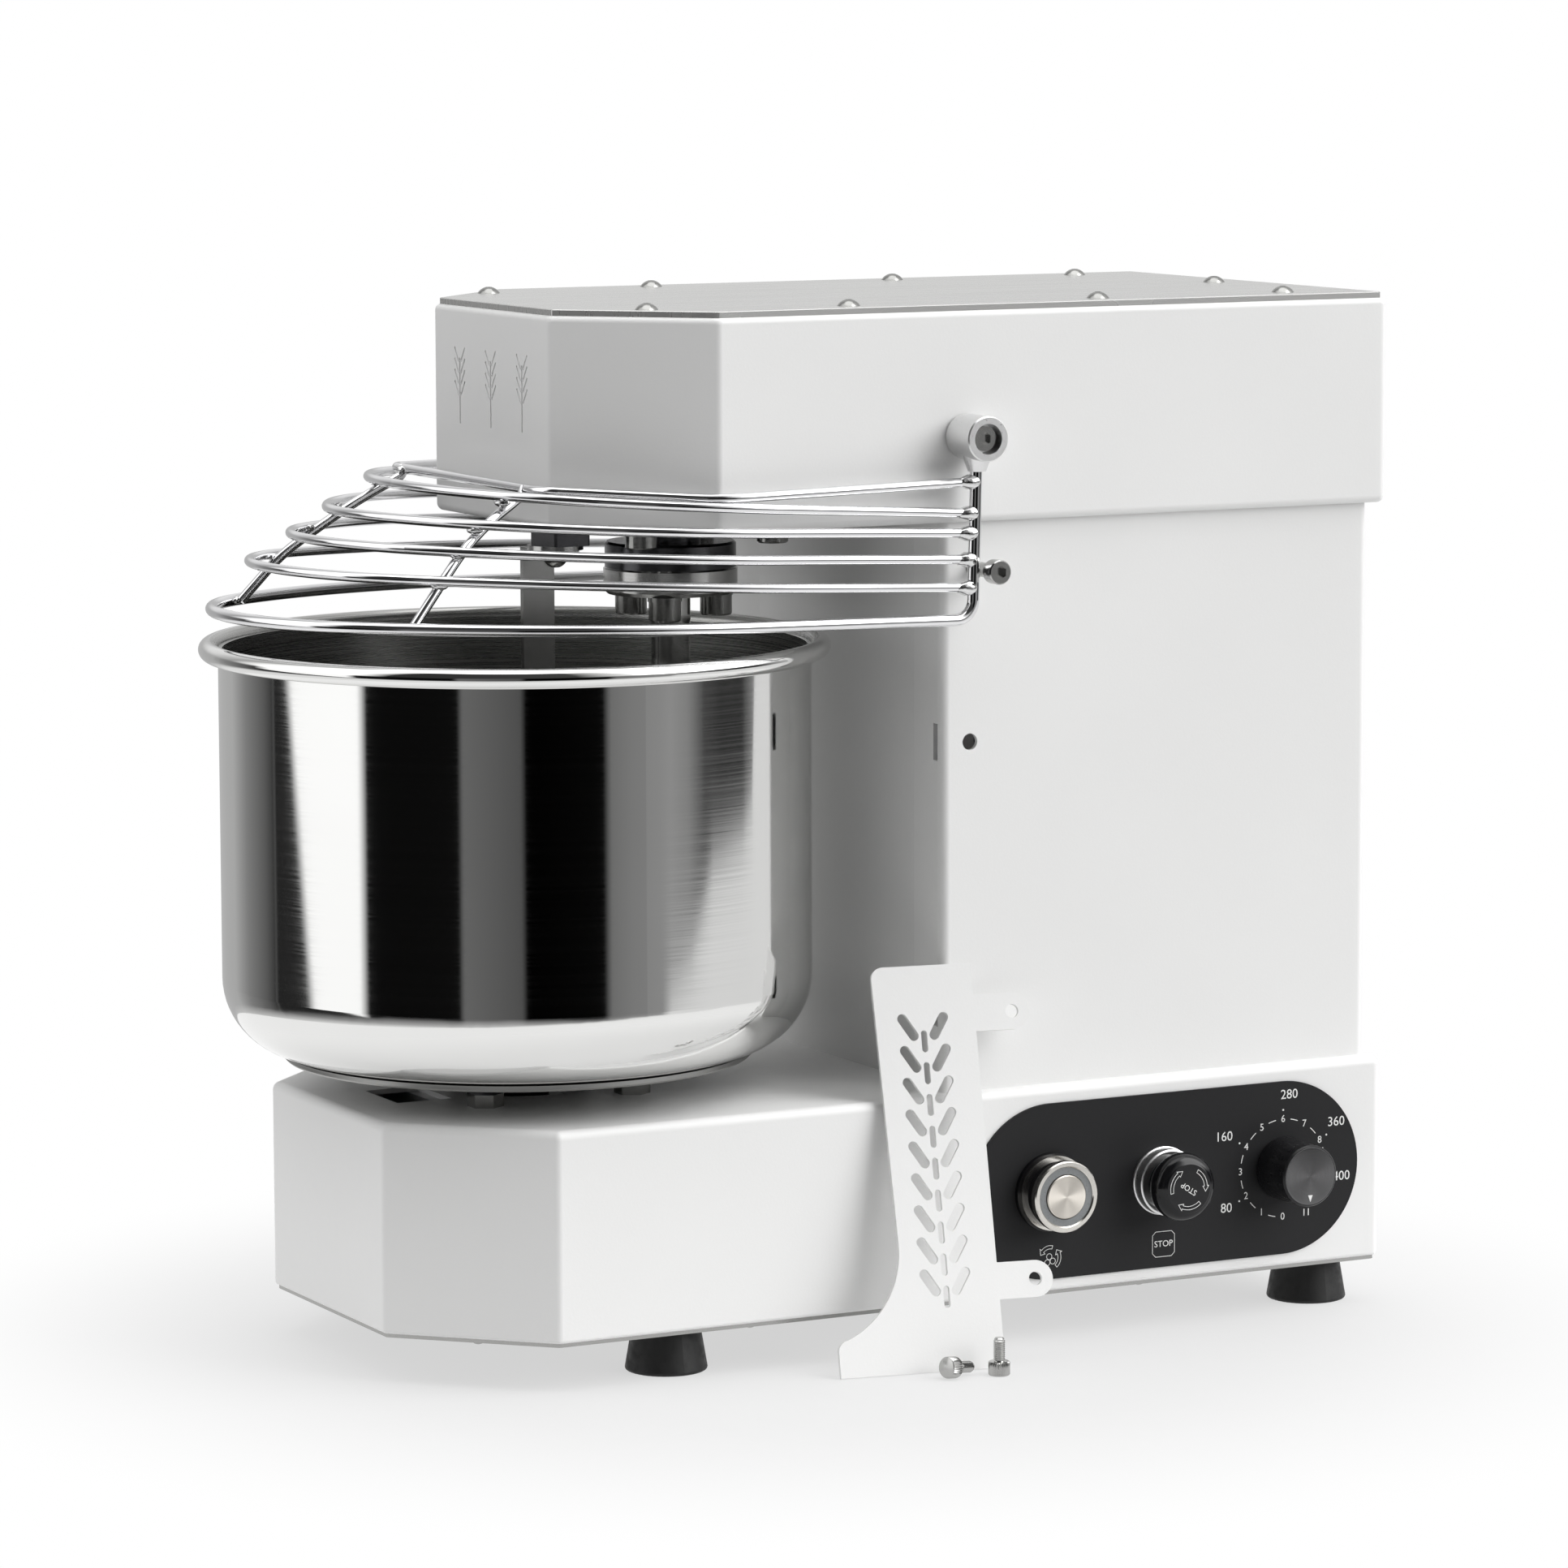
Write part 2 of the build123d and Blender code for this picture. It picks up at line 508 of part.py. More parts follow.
def motor_housing():
    """Finned motor body with its stator and end shields."""
    body = rod(0, MOTOR_Y, MOTOR_LOW, MOTOR_HIGH, MOTOR_R - 4.0)
    body += rod(0, MOTOR_Y, MOTOR_LOW, MOTOR_LOW + 12.0, MOTOR_R)
    body += rod(0, MOTOR_Y, MOTOR_HIGH - 12.0, MOTOR_HIGH, MOTOR_R)
    body += rod(0, MOTOR_Y, BRACKET_Z + 6.0, MOTOR_LOW, 46.0)
    fin = block(-1.2, 1.2, 40.0, MOTOR_R, MOTOR_LOW + 12.0, MOTOR_HIGH - 12.0)
    body += [Pos(0, MOTOR_Y) * Rot(0, 0, 15.0 * i) * fin for i in range(24)]
    body -= rod(0, MOTOR_Y, MOTOR_LOW + 6.0, MOTOR_LOW + 28.0, 44.0)
    body -= rod(0, MOTOR_Y, MOTOR_HIGH - 26.0, MOTOR_HIGH - 11.0, 44.0)
    body -= rod(0, MOTOR_Y, MOTOR_LOW + 20.0, MOTOR_HIGH - 20.0, 30.5)
    body -= rod(0, MOTOR_Y, MOTOR_LOW - 5.0, MOTOR_HIGH + 1, MOTOR_BEARING_R)
    body -= rod(0, MOTOR_Y, BRACKET_Z, MOTOR_LOW, 10.0)
    for x, y in on_circle(38.0, 4, 45):
        body -= rod(x, MOTOR_Y + y, BRACKET_Z, BRACKET_Z + 14.0, 3.0)
    return body


def motor_shaft():
    """Motor shaft with its rotor."""
    shaft = rod(0, MOTOR_Y, UPPER_BELT_Z - 3.0, HEAD_BELT_Z + PULLEY_W + 3.0, MOTOR_SHAFT_R)
    return shaft + rod(0, MOTOR_Y, MOTOR_LOW + 30.0, MOTOR_HIGH - 30.0, 29.5)


def motor_pulleys():
    top = pulley(MOTOR_Y, HEAD_BELT_Z, MOTOR_TOP_R, MOTOR_SHAFT_R)
    return group([top, pulley(MOTOR_Y, UPPER_BELT_Z, MOTOR_LOW_R, MOTOR_SHAFT_R)])


def drive_belts():
    return group([
        belt(HOOK_Y, HOOK_PULLEY_R, MOTOR_Y, MOTOR_TOP_R, HEAD_BELT_Z),
        belt(JACK_Y, JACK_LARGE_R, MOTOR_Y, MOTOR_LOW_R, UPPER_BELT_Z),
        belt(BOWL_Y, BOWL_PULLEY_R, JACK_Y, JACK_SMALL_R, LOWER_BELT_Z),
    ])


def drive_screws():
    """Screws of the jackshaft housing, the motor bracket's legs and the motor's foot."""
    screws = [Pos(x, JACK_Y + y, BASE_TOP) * cap_screw(6.0, 8.0, 5.0, 6.0, 2.8)
              for x, y in on_circle(33.0, 4, 45)]
    screws += [Pos(x, MOTOR_Y + y, BASE_TOP - SHEET) * Rot(180, 0, 0) * cap_screw(5.0, 16.0, 4.25, 5.0, 2.2)
               for x, y in corners(60.0, 45.0)]
    screws += [Pos(x, MOTOR_Y + y, BRACKET_Z) * Rot(180, 0, 0) * cap_screw(6.0, 13.5, 5.0, 6.0, 2.8)
               for x, y in on_circle(38.0, 4, 45)]
    return group(screws)


def speed_controller():
    low = BASE_BOTTOM + SHEET + 5.0
    box = fillet(block(-101.0, -38.0, 72.0, 158.0, low, 94.0).edges().filter_by(Axis.X), 3.0)
    for i in range(9):
        box -= block(-45.0, -30.0, 79.0 + 8.0 * i, 83.0 + 8.0 * i, 40.0, 84.0)
    for y in (86.0, 132.0):
        box += rod(-84.0, y, BASE_BOTTOM + SHEET, low + 1, 4.0) + rod(-55.0, y, BASE_BOTTOM, low + 1, 4.0)
    return box


def power_inlet():
    """Appliance inlet in the rear wall: shroud, flange and three blades."""
    z = 55.3
    body = block(-14.0, 14.0, BASE_REAR - 20.0, BASE_REAR + 1.0, z - 10.2, z + 10.2)
    flange = block(-25.0, 25.0, BASE_REAR, BASE_REAR + 2.6, z - 13.0, z + 13.0)
    body += fillet(flange.edges().filter_by(Axis.Y), 5.0)
    body -= block(-12.0, 12.0, BASE_REAR - 15.0, BASE_REAR + 4.0, z - 8.2, z + 8.2)
    for x in (-20.0, 20.0):
        body -= Pos(x, BASE_REAR, z) * Rot(90, 0, 0) * Cylinder(1.7, 12)
    for x, dz in ((-7.0, -2.0), (0.0, 2.0), (7.0, -2.0)):
        body += block(x - 1.0, x + 1.0, BASE_REAR - 16.0, BASE_REAR - 3.0, z + dz - 2.0, z + dz + 2.0)
    return body


# ---- kneading hook ------------------------------------------------------------------------------
def spindle_housing():
    flange = Pos(0, HOOK_Y) * fillet(Rectangle(92.0, 82.0).vertices(), 9.0)
    body = prism(flange, HOUSING_Z, HEAD_BOTTOM) + rod(0, HOOK_Y, HOUSING_Z, HOUSING_TOP, HOUSING_R)
    body -= rod(0, HOOK_Y, HOOK_BEARINGS[0], HOUSING_TOP + 1, BEARING_R)
    body -= rod(0, HOOK_Y, HOUSING_Z - 1, HOOK_BEARINGS[0] + 1, BEARING_R - SEAT_LIP)
    for x, y in corners(HOUSING_BOLT_X, HOUSING_BOLT_Y):
        body -= rod(x, HOOK_Y + y, HOUSING_Z - 1, HEAD_BOTTOM + 1, 4.2)
    return body


def spindle_backing_plate():
    low = HEAD_BOTTOM + SHEET
    outline = Pos(0, HOOK_Y) * fillet(Rectangle(92.0, 82.0).vertices(), 9.0)
    plate = prism(outline, low, low + 8.0) - rod(0, HOOK_Y, low - 1, low + 9, HOUSING_R)
    for x, y in corners(HOUSING_BOLT_X, HOUSING_BOLT_Y):
        plate -= rod(x, HOOK_Y + y, low - 1, low + 9, 4.0)
    return plate


def spindle_housing_screws():
    return group([Pos(x, HOOK_Y + y, HOUSING_Z) * Rot(180, 0, 0) * cap_screw(8.0, 13.0, 6.5, 8.0, 3.4)
                  for x, y in corners(HOUSING_BOLT_X, HOUSING_BOLT_Y)])


def spindle():
    """Spindle shaft with its driving disc."""
    top = SPINDLE_DISC_Z + SPINDLE_DISC_T
    disc = rod(0, HOOK_Y, SPINDLE_DISC_Z, top, SPINDLE_DISC_R)
    disc = chamfer(disc.edges().group_by(Axis.Z)[-1], 1.0)
    shaft = disc + rod(0, HOOK_Y, top, HEAD_BELT_Z + PULLEY_W, SHAFT_R)
    for x, y in on_circle(HOOK_BOLT_CIRCLE, 3, HOOK_BOLT_START):
        shaft -= rod(x, HOOK_Y + y, SPINDLE_DISC_Z - 1, top - 1.0, 4.0)
    return shaft


def spindle_pulley():
    return pulley(HOOK_Y, HEAD_BELT_Z, HOOK_PULLEY_R, SHAFT_R, 20.0, 5)


def hook_flange():
    low, high = HOOK_DISC_Z, HOOK_DISC_Z + HOOK_DISC_T
    disc = rod(0, HOOK_Y, low, high, HOOK_DISC_R)
    disc = chamfer(disc.edges().group_by(Axis.Z)[0], 1.6)
    disc += rod(0, HOOK_Y, high, SPINDLE_DISC_Z, 15.5)
    for x, y in on_circle(HOOK_BOLT_CIRCLE, 3, HOOK_BOLT_START):
        disc -= rod(x, HOOK_Y + y, low - 1, high + 1, 4.2)
    return disc


def hook_screws():
    """Three cap screws up through the hook's flange, each with a washer."""
    pieces = []
    for x, y in on_circle(HOOK_BOLT_CIRCLE, 3, HOOK_BOLT_START):
        seat = HOOK_DISC_Z - HOOK_WASHER_T
        pieces.append(Pos(x, HOOK_Y + y, seat) * Rot(180, 0, 0) * cap_screw(8.0, 18.0, 6.65, 8.3, 3.4))
        pieces.append(ring(x, HOOK_Y + y, seat, HOOK_DISC_Z, 7.1, 4.0))
    return group(pieces)


def spiral_points():
    """Centre line of the hook: down the axis, out, then one and a quarter turns down the bowl."""
    points = [(0.0, HOOK_Y, HOOK_DISC_Z), (0.0, HOOK_Y, 269.0)]
    start, steps, turns = math.radians(250.0), 15, 1.25
    for i in range(steps + 1):
        part = i / steps
        angle = start + 2 * math.pi * turns * part
        reach = HOOK_SWEEP_R * min(1.0, 0.42 + 2.4 * part, 1.0 - 0.6 * (part - 0.8))
        height = HOOK_SPIRAL_TOP + (HOOK_SPIRAL_END - HOOK_SPIRAL_TOP) * part
        points.append((reach * math.cos(angle), HOOK_Y + reach * math.sin(angle), height))
    return points


def hook_spiral():
    return bent_wire(spiral_points(), HOOK_ROD_R)


# ---- breaker bar --------------------------------------------------------------------------------
def breaker_block():
    body = block(BLOCK_X - BLOCK_W / 2, BLOCK_X + BLOCK_W / 2, BLOCK_Y - BLOCK_D / 2,
                 BLOCK_Y + BLOCK_D / 2, BLOCK_Z, HEAD_BOTTOM)
    body = chamfer(body.edges().filter_by(Axis.Z), 1.0)
    return body - rod(BREAKER_BOLT_X, BREAKER_Y, BLOCK_Z - 1, HEAD_BOTTOM + 1, 3.0)


def breaker_bar():
    """Flat bar down the middle of the bowl, with a foot bent over at its top."""
    high = BLOCK_Z - 2.0
    x0, x1 = BREAKER_X - BREAKER_T / 2, BREAKER_X + BREAKER_T / 2
    y0, y1 = BREAKER_Y - BREAKER_W / 2, BREAKER_Y + BREAKER_W / 2
    strip = block(x0, x1, y0, y1, BREAKER_END, high)
    foot = block(x0, BREAKER_BOLT_X + 8.0, y0, y1, high - BREAKER_T, high)
    bar = strip + foot
    inside = bar.edges().filter_by(Axis.Y).group_by(Axis.Z)[-2].sort_by(Axis.X)[0:1]
    bar = fillet(inside, 2.0)
    bar = fillet(bar.edges().filter_by(Axis.X).group_by(Axis.Z)[0], 5.0)
    return bar - rod(BREAKER_BOLT_X, BREAKER_Y, high - BREAKER_T - 1, high + 1, 3.0)


def breaker_screw():
    """Screw and washer that hold the breaker bar to its block."""
    low = BLOCK_Z - 2.0 - BREAKER_T
    screw = Pos(BREAKER_BOLT_X, BREAKER_Y, low) * Rot(180, 0, 0) * button_screw(6.0, 15.0, 5.2, 4.6)
    return group([screw, ring(BREAKER_BOLT_X, BREAKER_Y, BLOCK_Z - 2.0, BLOCK_Z, 11.5, 3.0)])


# ---- wire guard ---------------------------------------------------------------------------------
def loop_height(loop, y):
    rear_z, tilt = loop[0], loop[1]
    return rear_z + tilt * (HINGE_Y - y)


def loop_arcs(loop):
    """Radius and centres of the two arcs of half a loop: side arc, then front arc."""
    start, front, nose_r = loop[2], loop[3], loop[4]
    depth = start - front
    side_r = (GUARD_HALF ** 2 + (depth - nose_r) ** 2 - nose_r ** 2) / (2 * (GUARD_HALF - nose_r))
    side_centre = (GUARD_HALF - side_r, start)
    nose_centre = (0.0, front + nose_r)
    return side_r, side_centre, nose_r, nose_centre


def bar_y(z):
    """The side bars lean forward a little on their way down from the hinge."""
    return HINGE_Y - BAR_LEAN * (HINGE_Z - z)


def side_run(loop):
    """Right-hand straight run of a loop, from its side bar to where its arcs start."""
    ahead = (GUARD_HALF, loop[2], loop_height(loop, loop[2]))
    if loop is GUARD_LOOPS[0]:
        hub = (GUARD_HALF, bar_y(HINGE_Z - 8.0), HINGE_Z - 8.0)
        corner = (GUARD_HALF, bar_y(loop[0]), loop_height(loop, bar_y(loop[0])))
        return FilletPolyline(hub, corner, ahead, radius=BAR_BEND).edges()
    rear = bar_y(loop[0]) - BAR_R * 0.5
    return [Line((GUARD_HALF, rear, loop_height(loop, rear)), ahead)]


def loop_path(loop):
    """U-shaped centre line in a tilted plane: two straight sides, two side arcs and a nose arc."""
    side_r, side_c, nose_r, nose_c = loop_arcs(loop)
    angle = math.atan2(nose_c[1] - side_c[1], nose_c[0] - side_c[0])
    points = [(GUARD_HALF, loop[2])]
    for turn in (angle / 2, angle):
        points.append((side_c[0] + side_r * math.cos(turn), side_c[1] + side_r * math.sin(turn)))
    begin, middle, tangent = [(x, y, loop_height(loop, y)) for x, y in points]
    nose = (0.0, nose_c[1] - nose_r, loop_height(loop, nose_c[1] - nose_r))
    right = [*side_run(loop), ThreePointArc(begin, middle, tangent)]
    left = [edge.mirror(Plane.YZ) for edge in right]
    mirrored = (-tangent[0], tangent[1], tangent[2])
    return Wire([*right, ThreePointArc(tangent, nose, mirrored), *left])


def guard_loop(index, radius=WIRE_R):
    path = loop_path(GUARD_LOOPS[index])
    start = path.position_at(0)
    section = Plane(start, z_dir=path.tangent_at(0)) * Circle(radius)
    return sweep(section, path=path)


def guard_frame():
    """Heavier bar: down one side from the hinge, round the front as the lowest loop, and up again."""
    return guard_loop(0, BAR_R)


def guard_loop_2():
    return guard_loop(1)


def guard_loop_3():
    return guard_loop(2)


def guard_loop_4():
    return guard_loop(3)


def guard_loop_5():
    return guard_loop(4)


def guard_top_loop():
    right = TOP_LOOP
    left = [(-x, y, z) for x, y, z in reversed(TOP_LOOP)]
    return bent_wire(right + left, WIRE_R, bends=[40.0, TOP_LOOP_BEND, TOP_LOOP_BEND, 40.0])


def nose_point(loop, x, inset):
    """Point on the inside of a loop's nose, beside the wire, at about the given x."""
    nose_r, nose_c = loop_arcs(loop)[2:]
    side = math.asin(min(0.98, x / nose_r))
    reach = nose_r - inset
    y = nose_c[1] - reach * math.cos(side)
    return (reach * math.sin(side), y, loop_height(loop, y))


def guard_cross_rod(top_x, bottom_x):
    """Rod that ties the loops together, welded inside the lower five and outside the top one."""
    inset = 2 * WIRE_R - 0.3
    side = 1 if top_x > 0 else -1
    points = []
    for i, loop in enumerate(GUARD_LOOPS):
        x = side * (bottom_x + (top_x - bottom_x) * i / len(GUARD_LOOPS))
        x, y, z = nose_point(loop, x, inset + (BAR_R - WIRE_R if i == 0 else 0.0))
        points.append((side * x, y, z))
    points.append((top_x, TOP_LOOP[2][1] - 0.3, TOP_LOOP[2][2] + 0.6))
    return bent_wire(points, WIRE_R)


def guard_cross_rods():
    return group([guard_cross_rod(*LEFT_ROD_X), guard_cross_rod(*RIGHT_ROD_X)])


def guard_hub(side):
    """Hinge hub with a bore for its shoulder screw and a flared foot for the side bar."""
    low, high = sorted((side * HUB_IN, side * HUB_OUT))
    hub = rod_x(HINGE_Y, HINGE_Z, low, high, GUARD_HUB_R)
    hub = chamfer(hub.edges().filter_by(GeomType.CIRCLE), 0.5)
    foot = Cone(BAR_R + 1.2, 6.5, 8.0, align=(Align.CENTER, Align.CENTER, Align.MAX))
    hub += Pos(side * GUARD_HALF, HINGE_Y, HINGE_Z - 5.5) * foot
    hub -= rod_x(HINGE_Y, HINGE_Z, low - 1, high + 1, GUARD_BORE_R)
    pocket = sorted((side * (HUB_OUT - 8.0), side * (HUB_OUT + 1)))
    return hub - rod_x(HINGE_Y, HINGE_Z, *pocket, 6.2)


def guard_hubs():
    return group([guard_hub(-1), guard_hub(1)])


def guard_pivot_screws():
    shank = rod_x(0, 0, -16.0, 0.0, 3.0) + rod_x(0, 0, 0.0, 12.4, GUARD_BORE_R - RUNNING_FIT)
    screw = shank + rod_x(0, 0, 12.4, 17.2, 5.0)
    screw -= Pos(15.0, 0, 0) * Rot(0, 90, 0) * extrude(RegularPolygon(2.8, 6), 4.0)
    return group([Pos(side * HEAD_HALF, HINGE_Y, HINGE_Z) * Rot(0, 0, 90 - 90 * side) * screw
                  for side in (-1, 1)])


def guard_stop_screws():
    screws = []
    for side in (-1, 1):
        place = Pos(side * (COLUMN_HALF + 17.6), STOP_Y, STOP_Z) * Rot(0, 90 * side, 0)
        screws.append(place * cap_screw(6.0, 30.0, 5.0, 6.0, 2.8))
    nuts = []
    for side in (-1, 1):
        place = Pos(side * (COLUMN_HALF - SHEET), STOP_Y, STOP_Z) * Rot(0, -90 * side, 0)
        nuts.append(place * hex_nut(10.0, 5.0, 3.0))
    return group(screws + nuts)


# ---- controls -----------------------------------------------------------------------------------
def control_plate():
    face = Plane(origin=(BASE_HALF, (BUTTON_Y + KNOB_Y) / 2, CONTROL_Z), x_dir=(0, 1, 0), z_dir=(1, 0, 0))
    plate = extrude(face * SlotOverall(KNOB_Y - BUTTON_Y + PANEL_H, PANEL_H), PANEL_T)
    span = (BASE_HALF - 1, PANEL_X + 1)
    for y, r in ((BUTTON_Y, 12.7), (ESTOP_Y, 11.2), (KNOB_Y, 5.2)):
        plate -= rod_x(y, CONTROL_Z, *span, r)
    return plate


def turned_x(y, profile):
    """Solid of revolution about the X line through a control's centre; profile is (x, radius)."""
    face = make_face(Polyline(*[(x, r) for x, r in profile], close=True))
    return Pos(0, y, CONTROL_Z) * revolve(face, Axis.X)


def start_button_body():
    x = PANEL_X
    profile = [(78.0, 4.0 + RUNNING_FIT), (78.0, 12.5), (x, 12.5), (x, 16.5), (x + 2.2, 16.5),
               (x + 2.2, 14.2), (x + 10.6, 14.2), (x + 10.6, 9.6), (x + 3.0, 9.6),
               (x + 3.0, 4.0 + RUNNING_FIT)]
    return turned_x(BUTTON_Y, profile)


def start_button_rings():
    x = PANEL_X
    rear = ring_x(BUTTON_Y, CONTROL_Z, x + 2.2, x + 4.2, 15.6, 14.2)
    front = ring_x(BUTTON_Y, CONTROL_Z, x + 10.6, x + 14.0, 14.8, 12.3)
    front = chamfer(front.edges().filter_by(GeomType.CIRCLE).group_by(Axis.X)[-1], 0.5)
    return group([rear, front])


def start_button_light_ring():
    x = PANEL_X
    return ring_x(BUTTON_Y, CONTROL_Z, x + 10.6, x + 13.3, 12.3, 9.4)


def start_button_cap():
    x = PANEL_X
    cap = rod_x(BUTTON_Y, CONTROL_Z, x + 6.0, x + 14.1, 9.1)
    cap = chamfer(cap.edges().group_by(Axis.X)[-1], 0.4)
    return cap + rod_x(BUTTON_Y, CONTROL_Z, 79.0, x + 6.0, 4.0)


def estop_body():
    """Collar, threaded barrel and contact block of the emergency stop."""
    x = PANEL_X
    profile = [(77.0, 0.0), (77.0, 11.0), (x, 11.0), (x, 14.3), (x + 0.7, 14.3), (x + 0.7, 13.8),
               (x + 2.6, 13.8), (x + 2.6, 0.0)]
    box = block(56.0, 78.0, ESTOP_Y - 15.0, ESTOP_Y + 15.0, CONTROL_Z - 20.0, CONTROL_Z + 20.0)
    body = turned_x(ESTOP_Y, profile) + fillet(box.edges().filter_by(Axis.X), 2.0)
    return body - rod_x(ESTOP_Y, CONTROL_Z, 64.0, x + 4, 4.5 + RUNNING_FIT)


def estop_head():
    """Mushroom head and stem."""
    x = PANEL_X + 7.0
    rim = Spline((x + 1.0, 10.4), (x + 6.0, 13.4), (x + 9.0, 14.3), (x + 12.6, 13.4), (x + 14.6, 10.6))
    face = make_face([
        Line((69.0, 0.0), (69.0, 4.5)), Line((69.0, 4.5), (x, 4.5)), Line((x, 4.5), (x, 10.4)),
        Line((x, 10.4), (x + 1.0, 10.4)), rim, Line((x + 14.6, 10.6), (x + 14.8, 10.2)),
        Line((x + 14.8, 10.2), (x + 14.8, 0.0)), Line((x + 14.8, 0.0), (69.0, 0.0)),
    ])
    return Pos(0, ESTOP_Y, CONTROL_Z) * revolve(face, Axis.X)


def speed_knob():
    """Knob with the shaft it turns."""
    x = PANEL_X
    profile = [(92.0, 0.0), (92.0, 3.0), (x + 0.8, 3.0), (x + 0.8, 13.2), (x + 21.1, 13.0),
               (x + 21.8, 12.4), (x + 21.8, 0.0)]
    return turned_x(KNOB_Y, profile)


def speed_potentiometer():
    """Potentiometer with its threaded bush and nut."""
    inner = BASE_HALF - SHEET
    body = rod_x(KNOB_Y, CONTROL_Z, inner - 22.0, inner - 3.0, 12.0)
    body += block(inner - 20.0, inner - 8.0, KNOB_Y - 6.0, KNOB_Y + 6.0, CONTROL_Z - 18.0, CONTROL_Z)
    body += rod_x(KNOB_Y, CONTROL_Z, inner - 3.0, PANEL_X + 0.4, 5.0)
    body += Pos(inner, KNOB_Y, CONTROL_Z) * Rot(0, -90, 0) * extrude(RegularPolygon(8.0, 6), 3.0)
    body -= rod_x(KNOB_Y, CONTROL_Z, 90.0, PANEL_X + 1, 3.0 + RUNNING_FIT)
    return body


# ---- loose side guard plate and its screws ------------------------------------------------------
def plate_outline():
    """Flat outline: u runs along the floor edge, v up the plate."""
    left, right, high = PLATE_LEFT, PLATE_RIGHT, PLATE_H
    edges = [
        Line((0.0, 10.0), (0.0, 0.0)), Line((0.0, 0.0), (right, 0.0)), Line((right, 0.0), (right, high)),
        Line((right, high), (left + 5.0, high)),
        ThreePointArc((left + 5.0, high), (left + 1.46, high - 1.46), (left, high - 5.0)),
        Line((left, high - 5.0), (left + 2.0, 52.0)),
        ThreePointArc((left + 2.0, 52.0), (21.0, 28.0), (4.0, 15.0)),
        ThreePointArc((4.0, 15.0), (1.1, 13.4), (0.0, 10.0)),
    ]
    face = make_face(edges)
    for v in (TAB_UPPER, TAB_LOWER):
        tab = Rectangle(TAB_REACH - TAB_W / 2, TAB_W, align=(Align.MIN, Align.CENTER))
        face += Pos(right, v) * tab
        face += Pos(right + TAB_REACH - TAB_W / 2, v) * Circle(TAB_W / 2)
        face -= Pos(right + TAB_REACH - TAB_W / 2, v) * Circle(TAB_HOLE_R)
    return face


def plate_pattern():
    """Stencilled ear of wheat up the plate, as separate slots."""
    slots = []
    middle = (PLATE_LEFT + PLATE_RIGHT) / 2 - 1.0
    for row in range(9):
        v = 30.0 + 13.0 * row
        slots.append(Pos(middle, v) * Rot(0, 0, 90) * SlotOverall(9.0, 2.6))
        for side in (-1, 1):
            grain = Rot(0, 0, 90 - 32 * side) * SlotOverall(12.5, 4.2)
            slots.append(Pos(middle + 6.6 * side, v + 6.0) * grain)
    return Sketch() + slots


def plate_place():
    """Where the plate stands: its floor edge on the bench, leaning on the column."""
    turned = Pos(PLATE_FOOT[0], PLATE_FOOT[1], 0) * Rot(0, 0, PLATE_YAW)
    lift = PLATE_T * math.sin(math.radians(PLATE_LEAN))
    return Pos(0, 0, lift) * turned * Rot(90 - PLATE_LEAN, 0, 0)


def side_guard_plate():
    plate = extrude(plate_outline() - plate_pattern(), -PLATE_T)
    return plate_place() * plate


THUMB_HEAD_R, THUMB_HEAD_H, THUMB_LENGTH = 4.4, 5.8, 9.6


def thumb_screw():
    screw = cap_screw(4.8, THUMB_LENGTH, THUMB_HEAD_R, THUMB_HEAD_H)
    return chamfer(screw.edges().group_by(Axis.Z)[0], 0.6)


def thumb_screw_standing():
    return Pos(157.3, -38.9, THUMB_HEAD_H) * Rot(180, 0, 0) * thumb_screw()


def thumb_screw_lying():
    drop = math.degrees(math.atan2(THUMB_HEAD_R - 2.4, THUMB_HEAD_H + THUMB_LENGTH))
    screw = Rot(0, 0, 20.0) * Rot(90 - drop, 0, 0) * thumb_screw()
    low = screw.bounding_box().min.Z
    return Pos(154.0, -57.0, -low) * screw


def casing_screws():
    """Screws of the bottom cover, feet, rear cover and inlet, and the nuts of the panel controls."""
    low = BASE_BOTTOM - COVER_T
    inner = BASE_HALF - SHEET
    screws = [Pos(x, y, low) * Rot(180, 0, 0) * button_screw(3.5, 6.0, 3.4, 2.0) for x, y in COVER_SCREWS]
    screws += [Pos(x, y, 6.0) * Rot(180, 0, 0) * cap_screw(5.0, 19.0, 4.25, 4.0, 2.2)
               for x, y in corners(FOOT_X, FOOT_Y)]
    screws += [Pos(x, COLUMN_REAR + 1.5, z) * Rot(-90, 0, 0) * button_screw(4.0, 6.0, 3.8, 2.2)
               for x, z in rear_cover_screw_places()]
    screws += [Pos(x, BASE_REAR + 2.6, 55.3) * Rot(-90, 0, 0) * button_screw(3.2, 8.0, 2.9, 1.7)
               for x in (-20.0, 20.0)]
    screws.append(Pos(inner, BUTTON_Y, CONTROL_Z) * Rot(0, -90, 0) * hex_nut(30.0, 5.0, 12.5))
    screws.append(Pos(inner, ESTOP_Y, CONTROL_Z) * Rot(0, -90, 0) * hex_nut(27.0, 5.0, 11.0))
    return group(screws)


